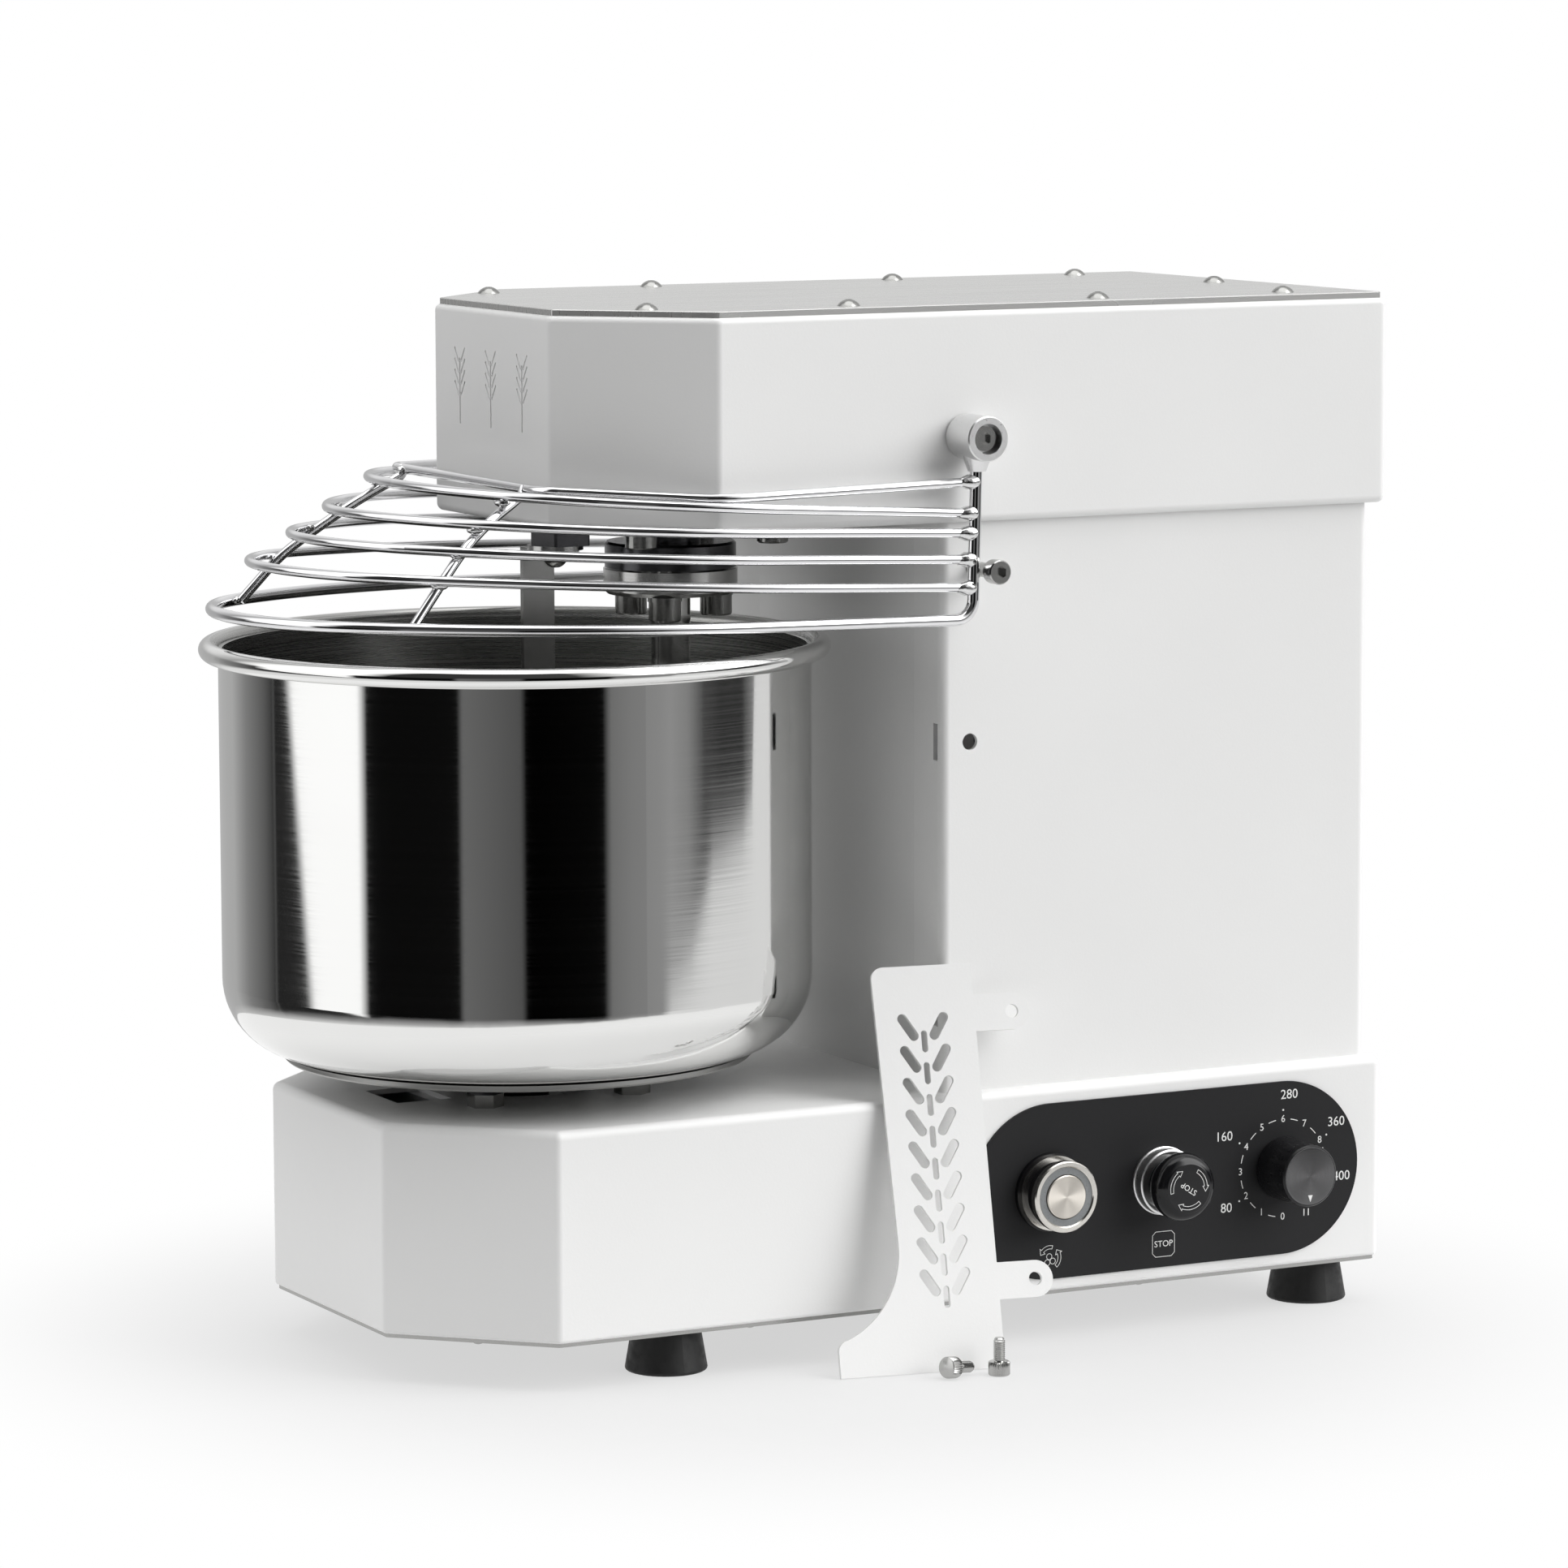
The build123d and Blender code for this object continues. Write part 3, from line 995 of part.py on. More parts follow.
# ---- all sub-parts ------------------------------------------------------------------------------
SUB_PARTS = [
    base_shell, base_cover, casing_screws, rubber_feet, column_shell, rear_cover, head_shell, head_lid,
    lid_screws, bowl, bowl_carrier, bowl_shaft, bowl_pulley, bowl_bearing_housing, bowl_housing_bolts,
    jackshaft, jackshaft_pulleys, jackshaft_housing, bearings, motor_bracket, motor_housing, motor_shaft,
    motor_pulleys, drive_belts, drive_screws, speed_controller, power_inlet, spindle_housing,
    spindle_backing_plate, spindle_housing_screws, spindle, spindle_pulley, hook_flange, hook_screws,
    hook_spiral, breaker_block, breaker_bar, breaker_screw, guard_frame, guard_loop_2, guard_loop_3,
    guard_loop_4, guard_loop_5, guard_top_loop, guard_cross_rods, guard_hubs, guard_pivot_screws,
    guard_stop_screws, control_plate, start_button_body, start_button_rings, start_button_light_ring,
    start_button_cap, estop_body, estop_head, speed_potentiometer, speed_knob, side_guard_plate,
    thumb_screw_standing, thumb_screw_lying,
]


def main():
    os.makedirs("parts", exist_ok=True)
    for make in SUB_PARTS:
        export_step(make(), f"parts/{make.__name__}.step")


main()
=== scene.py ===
import math
import random

import bmesh
import bpy
from mathutils import Matrix, Vector
from mathutils.bvhtree import BVHTree


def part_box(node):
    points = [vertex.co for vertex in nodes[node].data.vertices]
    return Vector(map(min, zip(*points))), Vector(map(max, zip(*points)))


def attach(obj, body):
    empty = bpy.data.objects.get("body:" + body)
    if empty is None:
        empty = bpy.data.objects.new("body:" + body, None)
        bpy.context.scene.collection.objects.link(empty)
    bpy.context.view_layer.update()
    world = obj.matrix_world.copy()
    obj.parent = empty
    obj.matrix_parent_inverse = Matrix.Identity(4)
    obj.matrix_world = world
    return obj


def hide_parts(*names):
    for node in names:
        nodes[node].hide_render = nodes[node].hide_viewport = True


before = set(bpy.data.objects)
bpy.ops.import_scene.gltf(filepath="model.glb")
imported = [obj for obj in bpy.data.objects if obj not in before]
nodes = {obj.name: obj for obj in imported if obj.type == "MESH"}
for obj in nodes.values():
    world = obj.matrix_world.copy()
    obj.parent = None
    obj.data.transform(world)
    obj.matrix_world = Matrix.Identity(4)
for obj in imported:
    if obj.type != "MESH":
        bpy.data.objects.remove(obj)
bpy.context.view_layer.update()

MM = 0.001


# ---- materials ----------------------------------------------------------------------------------
class Graph:
    """Short calls for one material's node tree."""

    def __init__(self, name):
        self.material = bpy.data.materials.new(name)
        self.material.use_nodes = True
        self.tree = self.material.node_tree
        self.shader = self.tree.nodes["Principled BSDF"]
        self.coord = self.add("ShaderNodeTexCoord").outputs["Object"]

    def add(self, kind, **settings):
        node = self.tree.nodes.new(kind)
        for key, value in settings.items():
            setattr(node, key, value)
        return node

    def link(self, a, b):
        self.tree.links.new(a, b)

    def scaled(self, scale, source=None):
        node = self.add("ShaderNodeMapping")
        node.inputs["Scale"].default_value = scale
        self.link(source or self.coord, node.inputs["Vector"])
        return node.outputs["Vector"]

    def turned(self, centre, axis):
        """Radius from an axis and distance along it, for lathe marks."""
        shift = self.add("ShaderNodeVectorMath", operation="SUBTRACT")
        shift.inputs[1].default_value = centre
        self.link(self.coord, shift.inputs[0])
        along = self.add("ShaderNodeSeparateXYZ")
        self.link(shift.outputs[0], along.inputs[0])
        flat = self.add("ShaderNodeVectorMath", operation="MULTIPLY")
        flat.inputs[1].default_value = [0.0 if i == axis else 1.0 for i in range(3)]
        self.link(shift.outputs[0], flat.inputs[0])
        radius = self.add("ShaderNodeVectorMath", operation="LENGTH")
        self.link(flat.outputs[0], radius.inputs[0])
        both = self.add("ShaderNodeCombineXYZ")
        self.link(radius.outputs["Value"], both.inputs[0])
        self.link(along.outputs[axis], both.inputs[1])
        return both.outputs[0]

    def noise(self, scale, vector=None, detail=3.0, rough=0.55):
        node = self.add("ShaderNodeTexNoise")
        node.inputs["Scale"].default_value = 1.0
        node.inputs["Detail"].default_value = detail
        node.inputs["Roughness"].default_value = rough
        scale = scale if isinstance(scale, tuple) else (scale, scale, scale)
        self.link(self.scaled(scale, vector), node.inputs["Vector"])
        return node.outputs["Fac"]

    def remap(self, value, low, high, start=0.3, stop=0.7, kind="LINEAR"):
        node = self.add("ShaderNodeMapRange", interpolation_type=kind)
        node.inputs["From Min"].default_value = start
        node.inputs["From Max"].default_value = stop
        node.inputs["To Min"].default_value = low
        node.inputs["To Max"].default_value = high
        self.link(value, node.inputs["Value"])
        return node.outputs["Result"]

    def blend(self, value, first, second):
        node = self.add("ShaderNodeMix", data_type="RGBA")
        node.inputs["A"].default_value = (*first, 1)
        node.inputs["B"].default_value = (*second, 1)
        self.link(value, node.inputs["Factor"])
        return node.outputs["Result"]

    def bump(self, value, strength, distance):
        node = self.add("ShaderNodeBump")
        node.inputs["Strength"].default_value = strength
        node.inputs["Distance"].default_value = distance
        self.link(value, node.inputs["Height"])
        self.link(node.outputs["Normal"], self.shader.inputs["Normal"])


def surface(name, color, metallic, rough, grain, bump=None, shift=0.06, spread=0.05, vector=None,
            spun=None, **sockets):
    """One finish: colour and roughness drift with a grain, and a fine bump.

    grain is the noise scale per metre, bump is (scale, strength, distance in mm).
    shift is how far the colour drifts, spread how far the roughness does.
    vector is (centre, axis) for a turned surface, spun the axis of a radial highlight.
    """
    g = Graph(name)
    source = g.turned(*vector) if vector else None
    fine = g.noise(grain, source)
    broad = g.noise(9.0, detail=2.0)
    dark = [max(0.0, c * (1 - shift)) for c in color]
    light = [min(1.0, c * (1 + shift * 0.5)) for c in color]
    g.link(g.blend(g.remap(broad, 0, 1), dark, light), g.shader.inputs["Base Color"])
    g.link(g.remap(fine, max(0.02, rough - spread), rough + spread), g.shader.inputs["Roughness"])
    g.shader.inputs["Metallic"].default_value = metallic
    for key, value in sockets.items():
        g.shader.inputs[key.replace("_", " ")].default_value = value
    if spun:
        tangent = g.add("ShaderNodeTangent", direction_type="RADIAL", axis=spun)
        g.link(tangent.outputs[0], g.shader.inputs["Tangent"])
        g.shader.inputs["Anisotropic"].default_value = SPUN_ANISOTROPY
    if bump:
        scale, strength, distance = bump
        g.bump(g.noise(scale, source, detail=2.0), strength, distance * MM)
    return g.material


CONTROL_Z = 0.0623
BUTTON = (0.012, CONTROL_Z)
ESTOP = (0.0655, CONTROL_Z)
KNOB = (0.1243, CONTROL_Z)

# Axes of turned surfaces: a point on the axis, and the axis as 0, 1 or 2.
BOWL_AXIS = ((0, -0.178, 0), 2)
HOOK_AXIS = ((0, -0.107, 0), 2)
BUTTON_AXIS = ((0, *BUTTON), 0)
KNOB_AXIS = ((0, *KNOB), 0)
BOWL_MIDDLE = (0.0, BOWL_AXIS[0][1], 0.270)
SPUN_ANISOTROPY = 0.85

# name, colour, metallic, roughness, grain, bump, shift, spread, vector, spun
powder = surface("powder_coat", (0.81, 0.81, 0.805), 0.0, 0.42, 260.0, (900.0, 0.30, 0.10), 0.015, 0.05)
lid_steel = surface("brushed_lid", (0.56, 0.56, 0.55), 0.65, 0.27, (300.0, 9.0, 20.0),
                    ((1200.0, 12.0, 40.0), 0.025, 0.01), 0.02, 0.03)
rim_steel = surface("rim_steel", (0.80, 0.80, 0.79), 1.0, 0.10, 400.0, (900.0, 0.05, 0.02), 0.03, 0.04)
turned_steel = surface("turned_steel", (0.60, 0.60, 0.59), 1.0, 0.20, (1500.0, 1500.0, 0.0),
                       ((1700.0, 1700.0, 0.0), 0.15, 0.02), 0.08, 0.06, HOOK_AXIS)
carrier_steel = surface("carrier_steel", (0.36, 0.36, 0.35), 1.0, 0.36, (900.0, 1500.0, 0.0),
                        ((900.0, 1500.0, 0.0), 0.3, 0.03), 0.25, 0.10, BOWL_AXIS)
chrome = surface("chrome_wire", (0.80, 0.80, 0.81), 1.0, 0.09, 300.0, (400.0, 0.05, 0.03), 0.03, 0.03)
weld_steel = surface("weld_steel", (0.74, 0.74, 0.74), 1.0, 0.16, 900.0, (650.0, 0.4, 0.25), 0.08, 0.08)
hub_steel = surface("satin_hub", (0.78, 0.78, 0.78), 1.0, 0.33, 900.0, (1200.0, 0.08, 0.02), 0.03, 0.06)
zinc = surface("zinc_steel", (0.46, 0.46, 0.45), 1.0, 0.17, 400.0, (900.0, 0.06, 0.02), 0.05, 0.04)
plain_steel = surface("plain_steel", (0.40, 0.40, 0.39), 1.0, 0.22, (300.0, 300.0, 1200.0),
                      (1200.0, 0.04, 0.01), 0.03, 0.03)
gunmetal = surface("gunmetal", (0.34, 0.34, 0.33), 1.0, 0.20, 300.0, (900.0, 0.05, 0.02), 0.10, 0.04)
oxide = surface("black_oxide", (0.10, 0.10, 0.105), 1.0, 0.22, 300.0, (900.0, 0.05, 0.02), 0.15, 0.04)
aluminium = surface("machined_aluminium", (0.72, 0.72, 0.73), 1.0, 0.34, 900.0, (1500.0, 0.15, 0.02))
motor_paint = surface("motor_paint", (0.06, 0.07, 0.085), 0.0, 0.45, 400.0, (1400.0, 0.2, 0.06), 0.1)
rubber = surface("foot_rubber", (0.008, 0.008, 0.008), 0.0, 0.50, 300.0, (700.0, 0.30, 0.10), 0.3, 0.12,
                 Specular_IOR_Level=0.4)
panel = surface("panel_film", (0.013, 0.013, 0.014), 0.0, 0.50, 600.0, (1500.0, 0.12, 0.03), 0.1, 0.05,
                Specular_IOR_Level=0.22)
black_gloss = surface("moulded_black", (0.006, 0.006, 0.007), 0.0, 0.13, 300.0, (500.0, 0.03, 0.03),
                      0.2, 0.03, Specular_IOR_Level=0.35)
knob_black = surface("knob_black", (0.008, 0.008, 0.009), 0.0, 0.30, 500.0, (1100.0, 0.10, 0.03), 0.2, 0.05,
                     Specular_IOR_Level=0.35)
knob_face = surface("knob_face", (0.13, 0.13, 0.132), 1.0, 0.24, (900.0, 0.0, 0.0),
                    ((1300.0, 0.0, 0.0), 0.10, 0.02), 0.05, 0.04, KNOB_AXIS, "X")
button_face = surface("button_face", (0.72, 0.68, 0.62), 1.0, 0.30, (900.0, 0.0, 0.0),
                      ((1300.0, 0.0, 0.0), 0.10, 0.02), 0.03, 0.03, BUTTON_AXIS, "X")
ring_steel = surface("ring_steel", (0.70, 0.68, 0.64), 1.0, 0.20, 500.0, (900.0, 0.04, 0.02), 0.03, 0.03)
light_ring = surface("light_ring", (0.20, 0.21, 0.215), 0.0, 0.30, 900.0, (1500.0, 0.1, 0.03), 0.08)
print_white = surface("white_print", (0.78, 0.78, 0.77), 0.0, 0.5, 1500.0, (2500.0, 0.1, 0.01), 0.04)
belt_rubber = surface("belt_rubber", (0.02, 0.02, 0.02), 0.0, 0.6, 900.0, (1500.0, 0.3, 0.05), 0.2, 0.1)


def bowl_finish():
    """Mirror polish outside, circular brushing inside; inside faces look at the bowl's middle."""
    g = Graph("polished_bowl")
    away = g.add("ShaderNodeVectorMath", operation="SUBTRACT")
    away.inputs[1].default_value = BOWL_MIDDLE
    g.link(g.coord, away.inputs[0])
    facing = g.add("ShaderNodeVectorMath", operation="DOT_PRODUCT")
    g.link(away.outputs[0], facing.inputs[0])
    g.link(g.add("ShaderNodeNewGeometry").outputs["Normal"], facing.inputs[1])
    outside = g.remap(facing.outputs["Value"], 0.0, 1.0, -0.001, 0.001)
    turned = g.turned(*BOWL_AXIS)
    lines = g.noise((260.0, 1500.0, 0.0), turned, 2.0)
    broad = g.noise(12.0, detail=2.0)
    tone = g.add("ShaderNodeMix", data_type="RGBA")
    g.link(outside, tone.inputs["Factor"])
    g.link(g.blend(g.remap(lines, 0, 1), (0.34, 0.34, 0.33), (0.50, 0.50, 0.49)), tone.inputs["A"])
    g.link(g.blend(g.remap(broad, 0, 1), (0.78, 0.78, 0.77), (0.81, 0.81, 0.80)), tone.inputs["B"])
    g.link(tone.outputs["Result"], g.shader.inputs["Base Color"])
    g.shader.inputs["Metallic"].default_value = 1.0
    rough = g.add("ShaderNodeMix", data_type="FLOAT")
    g.link(outside, rough.inputs["Factor"])
    g.link(g.remap(lines, 0.20, 0.34), rough.inputs["A"])
    g.link(g.remap(lines, 0.045, 0.085), rough.inputs["B"])
    g.link(rough.outputs["Result"], g.shader.inputs["Roughness"])
    g.bump(g.noise((300.0, 1800.0, 0.0), turned, 2.0), 0.05, 0.01 * MM)
    return g.material


bowl_steel = bowl_finish()

FINISH = {
    powder: "base_shell column_shell head_shell rear_cover side_guard_plate",
    lid_steel: "head_lid",
    bowl_steel: "bowl",
    carrier_steel: "bowl_carrier",
    turned_steel: "hook_flange",
    chrome: "guard_frame guard_loop_2 guard_loop_3 guard_loop_4 guard_loop_5 guard_top_loop "
            "guard_cross_rods",
    ring_steel: "start_button_rings",
    hub_steel: "guard_hubs",
    zinc: "casing_screws bowl_housing_bolts guard_pivot_screws guard_stop_screws "
          "thumb_screw_standing thumb_screw_lying breaker_screw",
    rim_steel: "hook_spiral",
    plain_steel: "base_cover bearings spindle_backing_plate breaker_bar motor_bracket jackshaft "
                 "motor_shaft",
    gunmetal: "lid_screws hook_screws spindle_housing_screws",
    oxide: "spindle spindle_housing breaker_block drive_screws bowl_shaft",
    aluminium: "bowl_bearing_housing jackshaft_housing bowl_pulley jackshaft_pulleys motor_pulleys "
               "spindle_pulley",
    motor_paint: "motor_housing",
    rubber: "rubber_feet",
    belt_rubber: "drive_belts",
    panel: "control_plate",
    black_gloss: "start_button_body estop_body estop_head speed_controller power_inlet "
                 "speed_potentiometer",
    knob_black: "speed_knob",
    button_face: "start_button_cap",
    light_ring: "start_button_light_ring",
}
for finish, names in FINISH.items():
    for name in names.split():
        mesh = nodes[name].data
        mesh.materials.clear()
        mesh.materials.append(finish)


# ---- new pieces ---------------------------------------------------------------------------------
def add_mesh(name, verts, faces, material, body, smooth=False):
    mesh = bpy.data.meshes.new(name)
    mesh.from_pydata(verts, [], faces)
    mesh.update()
    return add_piece(name, mesh, material, body, smooth)


def add_piece(name, mesh, material, body, smooth=False):
    piece = bpy.data.objects.new(name, mesh)
    bpy.context.scene.collection.objects.link(piece)
    mesh.materials.append(material)
    for polygon in mesh.polygons:
        polygon.use_smooth = smooth
    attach(piece, body)
    return piece


# A viewer facing the control panel sees +Y to the right and +Z up.
FACE = Matrix(((0, 0, 1), (1, 0, 0), (0, 1, 0))).to_4x4()
PANEL_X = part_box("control_plate")[1].x
CAP_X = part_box("estop_head")[1].x
KNOB_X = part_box("speed_knob")[1].x
PRINT_T = 0.06 * MM
SINK = 0.01 * MM
CAP_HEIGHT = 0.72
STROKE = 0.22 * MM


def on_face(x, y, z, turn=0.0):
    """Frame for flat print that lies on a face looking along +X."""
    return Matrix.Translation((x, y, z)) @ FACE @ Matrix.Rotation(turn, 4, "Z")


class Print:
    """Thin raised print gathered into one mesh."""

    def __init__(self, x):
        self.bm = bmesh.new()
        self.x = x

    def text(self, words, y, z, height, turn=0.0):
        curve = bpy.data.curves.new("words", "FONT")
        curve.body = words
        curve.size = height / CAP_HEIGHT
        curve.align_x = "CENTER"
        curve.align_y = "CENTER"
        curve.extrude = PRINT_T / 2
        curve.resolution_u = 3
        holder = bpy.data.objects.new("words", curve)
        mesh = bpy.data.meshes.new_from_object(holder)
        mesh.transform(on_face(self.x + PRINT_T / 2, y, z, turn))
        self.bm.from_mesh(mesh)
        bpy.data.objects.remove(holder)
        bpy.data.curves.remove(curve)
        bpy.data.meshes.remove(mesh)

    def polygon(self, points, place):
        """A closed outline given as (across, up) points, raised by the print's thickness."""
        low = [self.bm.verts.new(place @ Vector((u, v, 0))) for u, v in points]
        high = [self.bm.verts.new(place @ Vector((u, v, PRINT_T))) for u, v in points]
        self.bm.faces.new(high)
        self.bm.faces.new(low[::-1])
        count = len(points)
        for i in range(count):
            j = (i + 1) % count
            self.bm.faces.new((low[i], low[j], high[j], high[i]))

    def dot(self, y, z, radius):
        self.polygon(circle((0.0, 0.0), radius), on_face(self.x, y, z))

    def arc(self, y, z, radius, start, stop, width, steps=10):
        """Part of a ring, angles in degrees counter-clockwise from +Y."""
        place = on_face(self.x, y, z)
        outer = radius + width
        for i in range(steps):
            a = math.radians(start + (stop - start) * i / steps)
            b = math.radians(start + (stop - start) * (i + 1) / steps)
            corners = ((radius, a), (outer, a), (outer, b), (radius, b))
            self.polygon([(r * math.cos(t), r * math.sin(t)) for r, t in corners], place)

    def stroke(self, points, place, width=STROKE):
        """Closed outline of even width with mitred corners."""
        count = len(points)
        inner, outer = [], []
        for i, point in enumerate(points):
            here = Vector(point)
            before = (here - Vector(points[i - 1])).normalized()
            after = (Vector(points[(i + 1) % count]) - here).normalized()
            aside = Vector((-(before + after).y, (before + after).x)).normalized()
            reach = width / 2 / max(0.4, aside.dot(Vector((-after.y, after.x))))
            inner.append(here + aside * reach)
            outer.append(here - aside * reach)
        rings = [[self.bm.verts.new(place @ Vector((*q, lift))) for q in ring]
                 for ring, lift in ((outer, 0), (outer, PRINT_T), (inner, PRINT_T), (inner, 0))]
        for i in range(count):
            j = (i + 1) % count
            for k in range(4):
                a, b = rings[k], rings[(k + 1) % 4]
                self.bm.faces.new((a[i], a[j], b[j], b[i]))

    def arrow(self, centre, low, high, start, stop, head=22.0, flare=0.9 * MM):
        """Outline of a curved arrow that runs from start to stop, in degrees."""
        turn = 1 if stop > start else -1
        neck = stop - turn * head
        angles = [start + (neck - start) * i / 8 for i in range(9)]
        points = [polar((0, 0), high, a) for a in angles] + [polar((0, 0), high + flare, neck)]
        points += [polar((0, 0), (low + high) / 2, stop), polar((0, 0), low - flare, neck)]
        points += [polar((0, 0), low, a) for a in angles[::-1]]
        self.stroke(points, on_face(self.x, *centre))

    def finish(self, name, body, slot="panel_black"):
        mesh = bpy.data.meshes.new(name)
        self.bm.to_mesh(mesh)
        self.bm.free()
        return add_piece(name, mesh, print_white, body)


def polar(centre, radius, degrees):
    a = math.radians(degrees)
    return centre[0] + radius * math.cos(a), centre[1] + radius * math.sin(a)


def circle(centre, radius, sides=16):
    turns = [2 * math.pi * i / sides for i in range(sides)]
    return [(centre[0] + radius * math.cos(a), centre[1] + radius * math.sin(a)) for a in turns]


def cut_square(half, cut):
    """Outline of a square with its corners cut off."""
    corner = [(half, half - cut), (half - cut, half)]
    outline = corner + [(-u, v) for u, v in corner[::-1]]
    return outline + [(-u, -v) for u, v in outline]


# Dial: figures 0 to 11 clockwise from the bottom, dashes between them, speeds further out.
DIAL_FIGURES, DIAL_STEP, DIAL_ZERO = 12, 30, -90
FIGURE_R, LAST_FIGURE_R = 20.8 * MM, 23.2 * MM
SPEEDS = (("80", -27.6, -14.8), ("160", -28.9, 15.6), ("280", 2.9, 31.0), ("360", 26.1, 17.5),
          ("400", 28.9, -6.0))
STOP_SIGN = (0.0663, 0.0353)
START_SIGN = (0.0119, 0.0344)
DOUGH_DROP = 0.8 * MM


def print_dial(marks):
    for number in range(DIAL_FIGURES):
        last = number == DIAL_FIGURES - 1
        turn = DIAL_ZERO - DIAL_STEP * number
        marks.text(str(number), *polar(KNOB, LAST_FIGURE_R if last else FIGURE_R, turn), 3.1 * MM)
        if not last:
            marks.arc(*KNOB, 20.6 * MM, turn - 20, turn - 10, 0.35 * MM, 4)
    for words, across, up in SPEEDS:
        marks.text(words, KNOB[0] + across * MM, KNOB[1] + up * MM, 4.1 * MM)
    for degrees in (210, 150, 90, 30):
        marks.dot(*polar(KNOB, 24.6 * MM, degrees), 0.42 * MM)


def print_stop_sign(marks):
    marks.stroke(cut_square(5.3 * MM, 1.5 * MM), on_face(PANEL_X, *STOP_SIGN))
    marks.text("STOP", *STOP_SIGN, 2.7 * MM)


def print_start_sign(marks):
    """Two turning arrows round three lumps of dough."""
    for start, stop in ((75, 160), (-50, 45)):
        marks.arrow(START_SIGN, 3.9 * MM, 5.3 * MM, start, stop)
    place = on_face(PANEL_X, START_SIGN[0], START_SIGN[1] - DOUGH_DROP)
    for degrees in (-20, 100, 220):
        marks.stroke(circle(polar((0, 0), 1.5 * MM, degrees), 1.25 * MM), place)


def print_panel():
    marks = Print(PANEL_X - SINK)
    print_dial(marks)
    print_stop_sign(marks)
    print_start_sign(marks)
    marks.finish("dial_print", "machine")


def print_stop_cap():
    marks = Print(CAP_X - SINK)
    for start, stop in ((60, -12), (190, 112), (-50, -128)):
        marks.arrow(ESTOP, 7.4 * MM, 8.8 * MM, start, stop, 16.0, 0.7 * MM)
    marks.text("STOP", *ESTOP, 2.5 * MM, math.radians(147))
    marks.finish("stop_print", "estop", "plastic_black")


def print_pointer():
    marks = Print(KNOB_X + 0.08 * MM)
    tip = [(-1.1 * MM, -8.0 * MM), (0.0, -10.9 * MM), (1.1 * MM, -8.0 * MM)]
    marks.polygon(tip, on_face(marks.x, *KNOB))
    marks.finish("knob_pointer", "speed_dial", "knob_black")


print_panel()
print_stop_cap()
print_pointer()


def ring_point(place, along, radius, turn):
    """A point of a turned piece, along and radius in mm."""
    return place @ Vector((radius * math.cos(turn) * MM, radius * math.sin(turn) * MM, along * MM))


def turned_faces(rows, segments, bored=False):
    """Faces between rings of points. The rings close on themselves, or end in two discs."""
    faces = []
    for row in range(rows if bored else rows - 1):
        low, high = row * segments, (row + 1) % rows * segments
        for i in range(segments):
            j = (i + 1) % segments
            faces.append((low + i, low + j, high + j, high + i))
    if not bored:
        faces.append(tuple(range(segments))[::-1])
        faces.append(tuple(range((rows - 1) * segments, rows * segments)))
    return faces


def lathe(name, profile, place, material, body, ribs=None, segments=72, bored=False):
    """Turned piece. The profile is (along, radius) in mm; ribs maps a row to (count, depth in mm)."""
    verts = []
    for row, (along, radius) in enumerate(profile):
        count, depth = (ribs or {}).get(row, (1, 0.0))
        for i in range(segments):
            turn = 2 * math.pi * i / segments
            dip = depth * (0.5 - 0.5 * math.cos(turn * count))
            verts.append(ring_point(place, along, radius - dip, turn))
    faces = turned_faces(len(profile), segments, bored)
    piece = add_mesh(name, verts, faces, material, body, True)
    piece.data.set_sharp_from_angle(angle=math.radians(40))
    return piece


# ---- knob face and the stop's collar ------------------------------------------------------------
KNOB_FACE = [(0.0, 11.9), (0.05, 12.1), (0.08, 12.0), (0.1, 11.4)]
COLLAR = [(0.0, 4.8), (0.0, 14.35), (0.6, 14.5), (1.1, 14.35), (1.3, 13.95), (6.3, 13.9), (6.7, 13.4),
          (6.7, 13.05), (2.8, 11.3), (2.8, 4.8)]
lathe("knob_face", KNOB_FACE, on_face(KNOB_X - SINK, *KNOB), knob_face, "speed_dial")
lathe("stop_collar", COLLAR, on_face(PANEL_X + 2 * SINK, *ESTOP), hub_steel, "machine",
      bored=True)


# ---- thumb screws with knurled heads and rolled threads -----------------------------------------
LYING_FOOT = Vector((0.15597, -0.0624, 0.00511))
LYING_ALONG = Vector((-0.3392, 0.9319, -0.1288))


def thumb_screw(name, node, body, foot, along):
    """foot is the middle of the head's flat end, along the direction to the tip of the thread."""
    head, knurl_r, knurl = 5.8, 4.4, (36, 0.35)
    length, thread_r, root_r, pitch, runout = 9.6, 2.4, 2.06, 0.8, 0.5
    profile = [(0.0, 3.7), (0.15, 4.1), (0.45, knurl_r), (head - 0.5, knurl_r), (head - 0.1, 4.05),
               (head, 3.6), (head, 2.2), (head + runout, 2.05)]
    ribs = {row: knurl for row, (_, radius) in enumerate(profile) if radius == knurl_r}
    for i in range(int((length - 1.3) / pitch)):
        z = head + runout + i * pitch
        profile += [(z + 0.12, root_r), (z + 0.38, thread_r), (z + 0.50, thread_r), (z + 0.78, root_r)]
    profile += [(head + length - runout, 2.05), (head + length, 1.6)]
    place = Matrix.Translation(foot) @ along.to_track_quat("Z", "Y").to_matrix().to_4x4()
    piece = lathe(name, profile, place, zinc, body, ribs, 144)
    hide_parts(node)


def add_thumb_screws():
    low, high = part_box("thumb_screw_standing")
    foot = Vector(((low.x + high.x) / 2, (low.y + high.y) / 2, low.z))
    thumb_screw("thumb_screw_upright", "thumb_screw_standing", "thumb_screw_a", foot, Vector((0, 0, 1)))
    thumb_screw("thumb_screw_on_side", "thumb_screw_lying", "thumb_screw_b", LYING_FOOT, LYING_ALONG)


add_thumb_screws()


